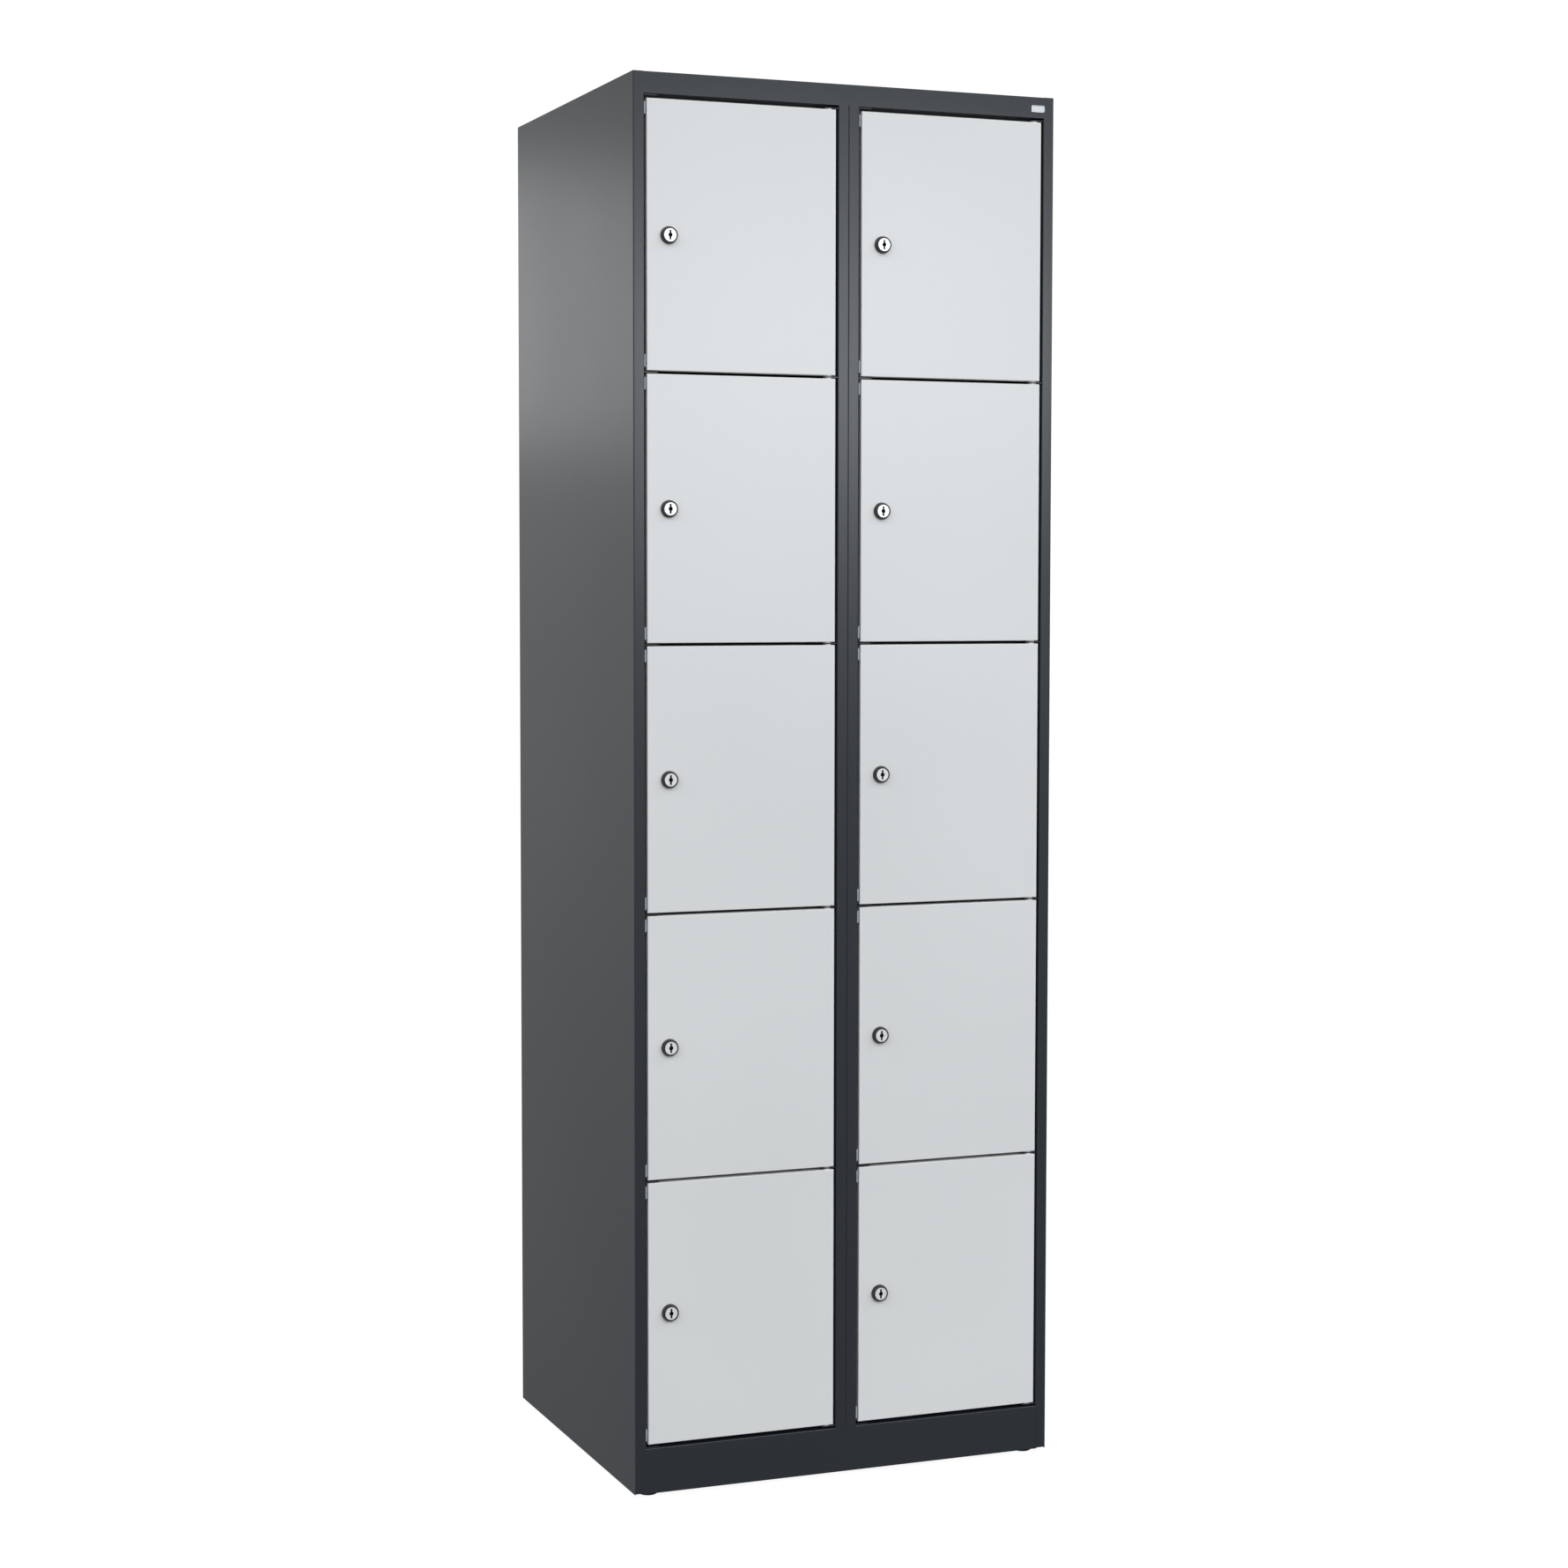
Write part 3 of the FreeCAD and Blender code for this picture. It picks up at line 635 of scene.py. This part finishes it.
def trim_rail(piece, stop, fold_low, fold_high):
    """Cut a rail's door stop away at the uprights' own stops, and its fold behind the post."""
    clear = STILE + STOP_LIP
    for x in (left + clear, -clear, -STILE, STILE, clear, right - clear):
        cut_line(piece, X, x)

    def stands_at_an_upright(centre, normal):
        beside = abs(centre.x) < clear or centre.x < left + clear or centre.x > right - clear
        return beside and stop(centre.z) and centre.y > front + STOP_DEPTH - BEND

    remove_faces(piece, stands_at_an_upright)
    remove_faces(
        piece,
        lambda centre, normal: abs(centre.x) < STILE and centre.y < front + BEND
        and fold_low < centre.z < fold_high,
    )


def roof():
    """Top sheet folded down into the top rail, its return and door stop, and a rear flange."""
    low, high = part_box("roof_panel")
    inner_left, inner_right = left + STILE - BEND, right - STILE + BEND
    piece = start_wall("roof_sheet", (inner_left, low.y, lintel), (inner_right, high.y, high.z), Z)
    drop = high.z - lintel
    fold_out(piece, edge_at(y=low.y, z=high.z), Z * -drop, Y * STOP_DEPTH, Z * -STOP_LIP)
    fold_out(piece, edge_at(y=high.y, z=high.z), Z * -REAR_FLANGE)
    look_along(piece, Z)
    front_top, rear_top = edge_at(y=low.y, z=high.z), edge_at(y=high.y, z=high.z)
    round_folds(piece, BEND, any_edge(front_top, edge_at(y=low.y, z=lintel), rear_top))
    round_folds(piece, BEND - SHEET, edge_at(y=low.y + STOP_DEPTH, z=lintel))
    trim_rail(piece, lambda z: z < lintel, lintel, lintel + BEND)
    for x, reach in ((inner_left, left + SHEET), (inner_right, right - SHEET)):
        fold_out(piece, edge_at(x=x, z=high.z), X * (reach - x))
    look_along(piece, Z)
    thicken(piece)
    fit(polish(piece, anthracite), "carcass", "roof_panel")


def plinth():
    """Bottom rail with a toe return, a top return and the door stop of the lowest doors."""
    low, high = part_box("plinth_rail")
    piece = start_wall("plinth_front", (low.x, low.y, low.z), (high.x, high.y, sill), -Y)
    fold_out(piece, edge_at(y=low.y, z=sill), Y * STOP_DEPTH, Z * STOP_LIP)
    fold_out(piece, edge_at(y=low.y, z=low.z), Y * TOE_RETURN)
    look_along(piece, -Y)
    round_folds(piece, BEND, any_edge(edge_at(y=low.y, z=sill), edge_at(y=low.y, z=low.z)))
    round_folds(piece, BEND - SHEET, edge_at(y=low.y + STOP_DEPTH, z=sill))
    trim_rail(piece, lambda z: z > sill, sill - BEND, sill)
    thicken(piece)
    fit(polish(piece, anthracite), "carcass", "plinth_rail")


def foot_places():
    """The axis of each levelling foot, by node."""
    tags = ("front_left", "front_right", "rear_left", "rear_right")
    return {f"foot_{tag}": sum(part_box(f"foot_{tag}"), Vector()) / 2 for tag in tags}


def base_tray():
    """Floor of the lowest compartments, folded down to two ledges that carry welded nuts."""
    low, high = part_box("base_panel")
    tray_front = front + STOP_DEPTH + SHEET
    piece = start_box("base_tray", (low.x, tray_front, low.z), (high.x, high.y, sill))
    remove_faces(piece, lambda centre, normal: abs(normal.y) > SQUARE_ON or normal.z < -SQUARE_ON)
    ledge = FOOT_LEDGE - SHEET
    fold_out(piece, edge_at(x=low.x, z=low.z), X * ledge)
    fold_out(piece, edge_at(x=high.x, z=low.z), X * -ledge)
    look_along(piece, Z)
    along = edge_along_y()
    round_folds(piece, BEND, lambda a, b: along(a, b) and abs(a.x) > high.x - HAIR)
    toe = front + TOE_RETURN - tray_front
    fold_out(piece, edge_at(y=tray_front, z=low.z), Y * toe)
    look_along(piece, Z)
    thicken(piece)
    for spot in foot_places().values():
        drill(piece, FOOT_HOLE, (spot.x, spot.y, low.z), Z, depth=0.004)
    fit(polish(piece, anthracite), "carcass", "base_panel")


def hexagon_nut(name, centre, axis, flats, bore, thickness):
    """A chamfered hexagon nut that starts at centre and goes along the axis."""
    corner = flats / math.sqrt(3)
    edge = flats / 2
    chamfer, ease = (corner - edge) * 0.6, 0.0005
    rings = [
        (bore + ease, 0),
        (edge, 0),
        (corner, chamfer),
        (corner, thickness - chamfer),
        (edge, thickness),
        (bore + ease, thickness),
        (bore, thickness - ease),
        (bore, ease),
        (bore + ease, 0),
    ]
    nut = turned(name, centre, axis, rings)
    just_inside = corner * 0.998
    boolean(nut, start_rod(just_inside, centre, axis, 4 * thickness, 6), "INTERSECT")
    return nut


def weld_nuts():
    """A nut over each foot's hole in the tray."""
    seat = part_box("base_panel")[0].z + SHEET
    nuts = [
        hexagon_nut(
            f"weld_nut_{index}",
            (spot.x, spot.y, seat),
            Z,
            flats=0.017,
            bore=0.00505,
            thickness=0.008,
        )
        for index, spot in enumerate(foot_places().values())
    ]
    piece = join("weld_nuts", nuts)
    fit(polish(piece, zinc), "carcass", "base_panel")


def rear_wall():
    """Flat rear sheet with two fixing holes near the top."""
    low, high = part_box("back_panel")
    piece = start_box("rear_sheet", low, high)
    soften(piece, 0.0002, steps=1)
    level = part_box("roof_panel")[1].z - WALL_HOLE_DROP
    for side in (-1, 1):
        hole = (side * WALL_HOLE_SPREAD, (low.y + high.y) / 2, level)
        drill(piece, WALL_HOLE, hole, Y, depth=0.004, steps=40)
    fit(polish(piece, anthracite), "carcass", "back_panel")


def shelf(name, low, high):
    """A flat shelf with flanges folded down all round."""
    piece = start_box(name, low, high)
    remove_faces(piece, lambda centre, normal: normal.z < -SQUARE_ON)
    round_folds(piece, BEND, edge_at(z=high.z))
    thicken(piece)
    soften(piece, 0.00015, steps=1)
    return piece


def shelves():
    """One shelf is modelled, and copied to both columns on four levels."""
    low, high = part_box("shelves_level_1")
    wide = right - left - 4 * SHEET
    first = shelf("shelf_A1", low, Vector((low.x + wide / 2, high.y, high.z)))
    polish(first, anthracite)
    pieces = {"shelf_A1": (first, "shelves_level_1")}
    for column, x in (("A", low.x), ("B", high.x - wide / 2)):
        for level in ROWS[:-1]:
            name = f"shelf_{column}{level}"
            node = f"shelves_level_{level}"
            move = Vector((x - low.x, 0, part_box(node)[0].z - low.z))
            if name != "shelf_A1":
                pieces[name] = (copy_piece(first, name, move), node)
    for piece, node in pieces.values():
        fit(piece, "carcass", node)


# ---- hinges and buffers ------------------------------------------------------------------------

def hinge_tab(name, root, side, level, pin_x=None, back=STOP_DEPTH):
    """A flat tab in the gap between two doors, its free corner rounded."""
    tip = root + side * TAB_REACH
    low = (min(root, tip), front + TAB_SETBACK, level - TAB_SHEET / 2)
    high = (max(root, tip), front + back, level + TAB_SHEET / 2)
    piece = start_box(name, low, high)
    round_folds(piece, TAB_CORNER, edge_at(x=tip, y=front + TAB_SETBACK), steps=5)
    if pin_x is not None:
        drill(piece, PIN + PIN_PLAY, (pin_x, front + PIN_SETBACK, level), Z, depth=0.003)
    soften(piece, 0.00015, steps=1)
    return piece


def door_levels(column):
    """Middle heights of the gaps under each door and over the top one, from the floor up."""
    under = [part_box(f"door_{column}{row}")[0].z - HALF_ROW_GAP for row in reversed(ROWS)]
    return [*under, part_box(f"door_{column}1")[1].z + HALF_ROW_GAP]


def hinge_axis(column):
    """The middle of the bushes of a column's first door."""
    low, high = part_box(f"hinge_bushes_{column}1")
    return (low + high) / 2


def tabs_and_pins():
    """Tabs on both sides of every gap, and a pin through each tab on the hinge side."""
    tabs, pins = [], []
    ease = 0.0004
    for column in COLUMNS:
        door_low, door_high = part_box(f"door_{column}1")
        axis = hinge_axis(column)
        hinge_root, lock_root = door_high.x + SIDE_GAP, door_low.x - SIDE_GAP
        levels = door_levels(column)
        lowest = sill + TAB_SHEET / 2
        first_hinge = hinge_tab(f"tab_{column}", hinge_root, -1, levels[0], axis.x)
        first_stop = hinge_tab(f"stop_{column}", lock_root, 1, lowest)
        tabs += [first_hinge, first_stop]
        for level in levels[1:]:
            tabs.append(copy_piece(first_hinge, "tab_copy", Z * (level - levels[0])))
        for level in levels[1:-1]:
            tabs.append(copy_piece(first_stop, "stop_copy", Z * (level - lowest)))
        rail_back = STOP_DEPTH - (BEND - SHEET)
        tabs.append(hinge_tab("tab_rail", lock_root, 1, lintel - TAB_SHEET / 2, None, rail_back))
        for step, level in enumerate(levels):
            down = TAB_SHEET / 2 if step == 0 else PIN_REACH
            up = TAB_SHEET / 2 if step == len(levels) - 1 else PIN_REACH
            rings = [(PIN - ease, -down), (PIN, ease - down), (PIN, up - ease), (PIN - ease, up)]
            pins.append(turned("pin", (axis.x, axis.y, level), Z, rings, steps=32))
    fit(polish(join("hinge_tab_plates", tabs), anthracite), "carcass", "hinge_tabs")
    fit(polish(join("hinge_pin_rods", pins), zinc), "carcass", "hinge_pins")


def buffer(name, x, z):
    """A rubber corner: a strip beside the door and a pad on the door stop."""
    strip, reach = 0.0021, 0.010
    strip_front, pad_front, back = front + 0.001, front + 0.0183, front + STOP_DEPTH
    piece = start_box(name, (x, strip_front, z), (x + strip, back, z + BUFFER_HEIGHT))
    cut_line(piece, Y, pad_front)
    edit(piece, "FACE", lambda centre, normal: normal.x > SQUARE_ON and centre.y > pad_front)
    bpy.ops.mesh.extrude_region_move(TRANSFORM_OT_translate={"value": X * (reach - strip)})
    leave_edit()
    round_folds(piece, 0.0008, edge_at(x=x, y=back), steps=2)
    soften(piece, 0.0004, steps=3)
    return piece


def buffers():
    """Two buffers on the lock side of every door."""
    made = []
    for column in COLUMNS:
        for row in ROWS:
            low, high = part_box(f"door_{column}{row}")
            for z in (low.z + BUFFER_MARGIN, high.z - BUFFER_MARGIN - BUFFER_HEIGHT):
                place = Vector((low.x - SIDE_GAP, 0, z))
                if not made:
                    made.append(buffer("buffer", place.x, place.z))
                    first = place
                else:
                    made.append(copy_piece(made[0], "buffer_copy", place - first))
    fit(polish(join("buffer_corners", made), rubber), "carcass", "door_buffers")


# ---- doors and locks ---------------------------------------------------------------------------

def door_leaf():
    """The first door: a folded pan with return lips, a lock hole and bush holes."""
    low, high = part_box("door_A1")
    axis = hinge_axis("A")
    lock = lock_axis("A", 1)
    piece = start_box("door_leaf_A1", low, high)
    edit(piece, "FACE", lambda centre, normal: normal.y > SQUARE_ON)
    bpy.ops.mesh.inset(thickness=DOOR_LIP, depth=0)
    leave_edit()
    remove_faces(
        piece,
        lambda centre, normal: normal.y > SQUARE_ON and near(centre.x, (low.x + high.x) / 2)
        and near(centre.z, (low.z + high.z) / 2),
    )
    round_folds(piece, BEND, edge_at(y=low.y))
    uprights = [edge_at(x=x, y=high.y) for x in (low.x, high.x)]
    levels = [edge_at(y=high.y, z=z) for z in (low.z, high.z)]
    round_folds(piece, BEND, any_edge(*uprights, *levels))
    thicken(piece)
    drill(piece, LOCK_HOLE, lock, Y, depth=0.003, steps=48)
    for z in (low.z, high.z):
        drill(piece, BUSH_HOLE, (axis.x, axis.y, z), Z, depth=0.003)
    soften(piece, 0.0002, angle=50)
    return polish(piece, light_grey)


def hinge_bushes():
    """The first door's two nylon bushes, with a collar on the tab and a barrel in the door."""
    low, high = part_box("door_A1")
    axis = hinge_axis("A")
    bore, barrel, collar, ease = 0.00255, 0.004, 0.0058, 0.0003
    length, taper = 0.010, 0.0006
    collar_height = low.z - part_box("hinge_bushes_A1")[0].z
    bushes = []
    for level, side in ((low.z, 1), (high.z, -1)):
        rings = [
            (bore, side * -collar_height),
            (collar - ease, side * -collar_height),
            (collar, side * (ease - collar_height)),
            (collar, side * -ease),
            (collar - ease, 0),
            (barrel, 0),
            (barrel, side * (length - taper)),
            (barrel - taper, side * length),
            (bore, side * length),
            (bore, side * -collar_height),
        ]
        bushes.append(turned(f"bush_{side}", (axis.x, axis.y, level), Z, rings, steps=40))
    return polish(join("bush_pair_A1", bushes), nylon, angle=50)


def lock_axis(column, row):
    """Where the lock's axis meets the face of the door."""
    low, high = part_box(f"lock_case_{column}{row}")
    return Vector(((low.x + high.x) / 2, front, (low.z + high.z) / 2))


def lock_rim():
    """The fixed black case: a tapered rim with rounded edges, and a threaded barrel."""
    barrel, root, tail = 0.0095, 0.0091, CAM_FRONT - 0.0003
    flange, bore, seat, shank = 0.0116, 0.00705, -0.00395, 0.006
    rings = [
        (flange, 0),
        (0.01155, -0.0010),
        (0.01045, -0.0050),
        (0.0102, -0.0057),
        (0.00985, -LOCK_REACH),
        (0.0090, -LOCK_REACH),
        (0.0086, -0.0057),
        (0.00855, seat),
        (bore, seat),
        (bore, tail),
        (root, tail),
    ]
    pitch = 0.001
    threads = int((tail - shank - pitch / 2) / pitch)
    for turn in range(threads):
        crest = tail - (turn + 0.5) * pitch
        rings += [(barrel, crest), (root, crest - pitch / 2)]
    rings += [(barrel, shank), (barrel, 0), (flange, 0)]
    piece = turned("lock_rim_A1", lock_axis("A", 1), Y, rings, steps=56)
    return polish(piece, lock_black, angle=50)


def lock_nut():
    """The nut that holds the case from behind the door's sheet."""
    seat = lock_axis("A", 1) + Y * SHEET
    piece = hexagon_nut("lock_nut_A1", seat, Y, flats=0.024, bore=LOCK_HOLE, thickness=0.005)
    return polish(piece, zinc)


def bar(name, axis, wide, tall, start, end):
    """A bar along a lock's axis, as wide and tall on each side of it."""
    side = Vector((wide, 0, tall))
    return start_box(name, axis + Y * start - side, axis + Y * end + side)


def lock_face():
    """The turning cylinder: a disc with a ring and a keyhole, a barrel and a square tail."""
    axis = lock_axis("A", 1)
    face, ease = 0.0003 - LOCK_REACH, 0.00025
    disc, plug, ring, groove = 0.0085, 0.007, 0.0045, 0.0005
    rear = face + 0.0017
    rings = [
        (ring, face),
        (ring + groove / 2, face + ease),
        (ring + groove, face),
        (disc - ease, face),
        (disc, face + ease),
        (disc, rear),
        (plug, rear),
        (plug, CAM_FRONT),
    ]
    piece = turned("lock_face_A1", axis, Y, rings, steps=56)
    square, key_depth, beyond = 0.004, 0.008, 0.001
    tail = bar("tail", axis, square, square, CAM_FRONT - 0.002, CAM_FRONT + CAM_SHEET)
    boolean(piece, tail, "UNION")
    boolean(piece, bar("slot", axis, *KEY_SLOT_HALF, face - beyond, face + key_depth))
    middle = axis + Y * (face + (key_depth - beyond) / 2)
    drill(piece, KEY_CIRCLE, middle, Y, depth=(key_depth + beyond) / 2)
    return polish(piece, nickel)


def lock_cam():
    """The flat cam with a round end, and its cross-recessed screw."""
    axis = lock_axis("A", 1)
    half, length, back = 0.008, 0.030, CAM_FRONT + CAM_SHEET
    low, high = Vector((-half, CAM_FRONT, -length)), Vector((half, back, half))
    blade = start_box("lock_cam_A1", axis + low, axis + high)
    round_folds(blade, half * 0.999, edge_along_y(axis.z + half), steps=10)
    round_folds(blade, 0.003, edge_along_y(axis.z - length), steps=5)
    square, beyond = 0.00402, 0.001
    boolean(blade, bar("hole", axis, square, square, CAM_FRONT - beyond, back + beyond))
    soften(blade, 0.0002, steps=1)
    head, rise = 0.0055, 0.0025
    rings = [
        (0.0025, back - 0.003),
        (0.0025, back),
        (head, back),
        (head, back + 0.0012),
        (head * 0.93, back + 0.0018),
        (head * 0.74, back + 0.0023),
        (head * 0.4, back + rise),
    ]
    screw = turned("cam_screw_A1", axis, Y, rings, steps=40)
    for wide, tall in ((0.0028, 0.0005), (0.0005, 0.0028)):
        boolean(screw, bar("recess", axis, wide, tall, back + 0.0011, back + 0.004))
    return polish(join("lock_cam_A1", [blade, screw]), zinc)


def doors_and_locks():
    """One door with its hinges and lock is modelled, and copied to the other nine places."""
    kinds = (
        (door_leaf(), "door_{}_panel", "door_{}", "door_{}"),
        (hinge_bushes(), "bush_pair_{}", "door_{}", "hinge_bushes_{}"),
        (lock_rim(), "lock_rim_{}", "door_{}", "lock_case_{}"),
        (lock_nut(), "lock_nut_{}", "door_{}", "lock_case_{}"),
        (lock_face(), "lock_face_{}", "lock_{}", "lock_cylinder_{}"),
        (lock_cam(), "lock_cam_{}", "lock_{}", "lock_cylinder_{}"),
    )
    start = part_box("door_A1")[0]
    for first, name, body, node in kinds:
        made = {}
        for column in COLUMNS:
            for row in ROWS:
                tag = f"{column}{row}"
                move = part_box(f"door_{tag}")[0] - start
                made[tag] = first if tag == "A1" else copy_piece(first, name.format(tag), move)
        first.name = name.format("A1")
        for tag, piece in made.items():
            fit(piece, body.format(tag), node.format(tag))


# ---- feet and plate ----------------------------------------------------------------------------

def levelling_feet():
    """Black plastic discs on threaded zinc studs."""
    pad, socket, socket_floor, pad_top = 0.0125, 0.00502, 0.0015, 0.0046
    pitch, crest, root = 0.0015, 0.005, 0.0044
    pad_rings = [
        (0.0118, 0),
        (pad, 0.0007),
        (pad, 0.0024),
        (0.0121, 0.0030),
        (0.0090, 0.0044),
        (0.0084, pad_top),
        (0.0056, pad_top),
        (socket, 0.0042),
        (socket, socket_floor),
    ]
    for node, spot in foot_places().items():
        centre = (spot.x, spot.y, 0)
        tag = node.removeprefix("foot_")
        disc = turned(f"foot_pad_{tag}", centre, Z, pad_rings, steps=56)
        fit(polish(disc, foot_black), f"foot_{tag}", node)
        stud_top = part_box(node)[1].z
        rings = [(root, socket_floor), (crest, 0.0022), (crest, pad_top)]
        for turn in range(int((stud_top - pad_top) / pitch)):
            base = pad_top + turn * pitch
            rings += [(root, base + pitch / 2), (crest, base + pitch)]
        rings += [(crest, stud_top - 0.0008), (root, stud_top)]
        stud = turned(f"foot_stud_{tag}", centre, Z, rings, steps=32)
        fit(polish(stud, zinc, angle=50), f"foot_{tag}", node)


def blank_plate():
    """A small unmarked plate with a raised border on the top rail."""
    low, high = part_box("maker_plate")
    piece = start_box("rail_plate", low, high)
    round_folds(piece, 0.002, edge_along_y(), steps=6)
    edit(piece, "FACE", lambda centre, normal: normal.y < -SQUARE_ON)
    bpy.ops.mesh.inset(thickness=0.0008, depth=0)
    bpy.ops.mesh.inset(thickness=0.0002, depth=-0.0002)
    leave_edit()
    soften(piece, 0.0001, angle=60)
    fit(polish(piece, aluminium), "carcass", "maker_plate")


side_wall("side_wall_left", "side_panel_left", 1)
side_wall("side_wall_right", "side_panel_right", -1)
post_half("post_half_left", "partition_left", -1)
post_half("post_half_right", "partition_right", 1)
roof()
plinth()
base_tray()
weld_nuts()
rear_wall()
shelves()
tabs_and_pins()
buffers()
doors_and_locks()
levelling_feet()
blank_plate()


# ---- studio ------------------------------------------------------------------------------------

# Light from the sky by height over the horizon, in degrees
SKY = (
    (-90, 0.0), (-30, 0.17), (-8, 0.43), (2, 0.68), (14, 0.32), (35, 2.60), (60, 0.20), (90, 0.10),
)
SKY_TINT = (0.985, 1.0, 1.015)
COOL = (0.95, 1.0, 1.05)
PAPER = 0.12
FLOOR_GLOW = 0.94
BACKDROP = 1.05

CAMERA_PLACE = (-1.546, -3.803, 1.190)
CAMERA_DIP = 3.35
CAMERA_TURN = 21.02


def studio_floor():
    """A wide pale floor for the eye alone; the sky below the horizon lights the object instead."""
    bpy.ops.object.select_all(action="DESELECT")
    bpy.ops.mesh.primitive_plane_add(size=60)
    floor = bpy.context.object
    floor.name = "studio_floor"
    material = bpy.data.materials.new("studio_floor")
    material.use_nodes = True
    tree = material.node_tree
    tree.nodes.clear()
    seen = Wire(tree, tree.nodes.new("ShaderNodeLightPath").outputs["Is Camera Ray"])
    clear = seen.node("ShaderNodeBsdfTransparent")
    paper = seen.node("ShaderNodeBsdfDiffuse", {}, {"Color": (PAPER, PAPER, PAPER, 1)})
    glow = seen.node("ShaderNodeEmission", {}, {"Color": (1, 1, 1, 1), "Strength": FLOOR_GLOW})
    lit = seen.node("ShaderNodeAddShader", {}, {0: paper, 1: glow})
    mixed = seen.node("ShaderNodeMixShader", {}, {0: seen, 1: clear, 2: lit})
    seen.node("ShaderNodeOutputMaterial", {}, {"Surface": mixed})
    floor.data.materials.append(material)


def sky_stop(height, glow):
    """A stop of the sky's ramp: its place, and its light."""
    place = (1 + math.sin(math.radians(height))) / 2
    return place, (*(tint * glow for tint in SKY_TINT), 1)


def studio_world():
    """White behind the object, and for all else a sky that is brightest well over the horizon."""
    world = bpy.data.worlds.new("studio")
    bpy.context.scene.world = world
    world.use_nodes = True
    tree = world.node_tree
    direction = Wire(tree, tree.nodes.new("ShaderNodeTexCoord").outputs["Generated"])
    rise = direction.axis("Z") * 0.5 + 0.5
    stops = [sky_stop(height, glow) for height, glow in SKY]
    sky = rise.node("ShaderNodeValToRGB", {"stops": stops}, {0: rise})
    seen = Wire(tree, tree.nodes.new("ShaderNodeLightPath").outputs["Is Camera Ray"])
    values = {0: seen, 6: sky, 7: (BACKDROP, BACKDROP, BACKDROP, 1)}
    colour = seen.node("ShaderNodeMix", {"data_type": "RGBA"}, values, output=2)
    tree.links.new(colour.socket, tree.nodes["Background"].inputs["Color"])


def softbox(name, place, target, width, height, power, colour=(1, 1, 1)):
    """A rectangular lamp that faces its target."""
    light = bpy.data.lights.new(name, "AREA")
    light.color = colour
    light.shape = "RECTANGLE"
    light.size = width
    light.size_y = height
    light.energy = power
    lamp = bpy.data.objects.new(name, light)
    bpy.context.scene.collection.objects.link(lamp)
    lamp.location = place
    lamp.rotation_euler = (Vector(target) - Vector(place)).to_track_quat("-Z", "Y").to_euler()


def studio_camera():
    """A long lens to the left of the doors, at about two thirds of the height."""
    camera = bpy.data.objects.new("camera", bpy.data.cameras.new("camera"))
    bpy.context.scene.collection.objects.link(camera)
    camera.location = CAMERA_PLACE
    camera.rotation_euler = (math.radians(90 - CAMERA_DIP), 0, math.radians(-CAMERA_TURN))
    camera.data.sensor_width = 36
    camera.data.lens = 67.13
    camera.data.shift_x = 0.04
    camera.data.shift_y = -0.015
    camera.data.clip_end = 200
    bpy.context.scene.camera = camera


studio_floor()
studio_world()
softbox(
    "front_softbox",
    place=(1.2, -3.4, 1.76),
    target=(0, 0, 1.3),
    width=1.5,
    height=0.4,
    power=19,
    colour=COOL,
)
softbox(
    "side_softbox",
    place=(-1.0, 2.3, 1.80),
    target=(-0.3, 0, 1.3),
    width=0.9,
    height=0.6,
    power=1.6,
)
studio_camera()
bpy.context.scene.view_settings.view_transform = "Standard"
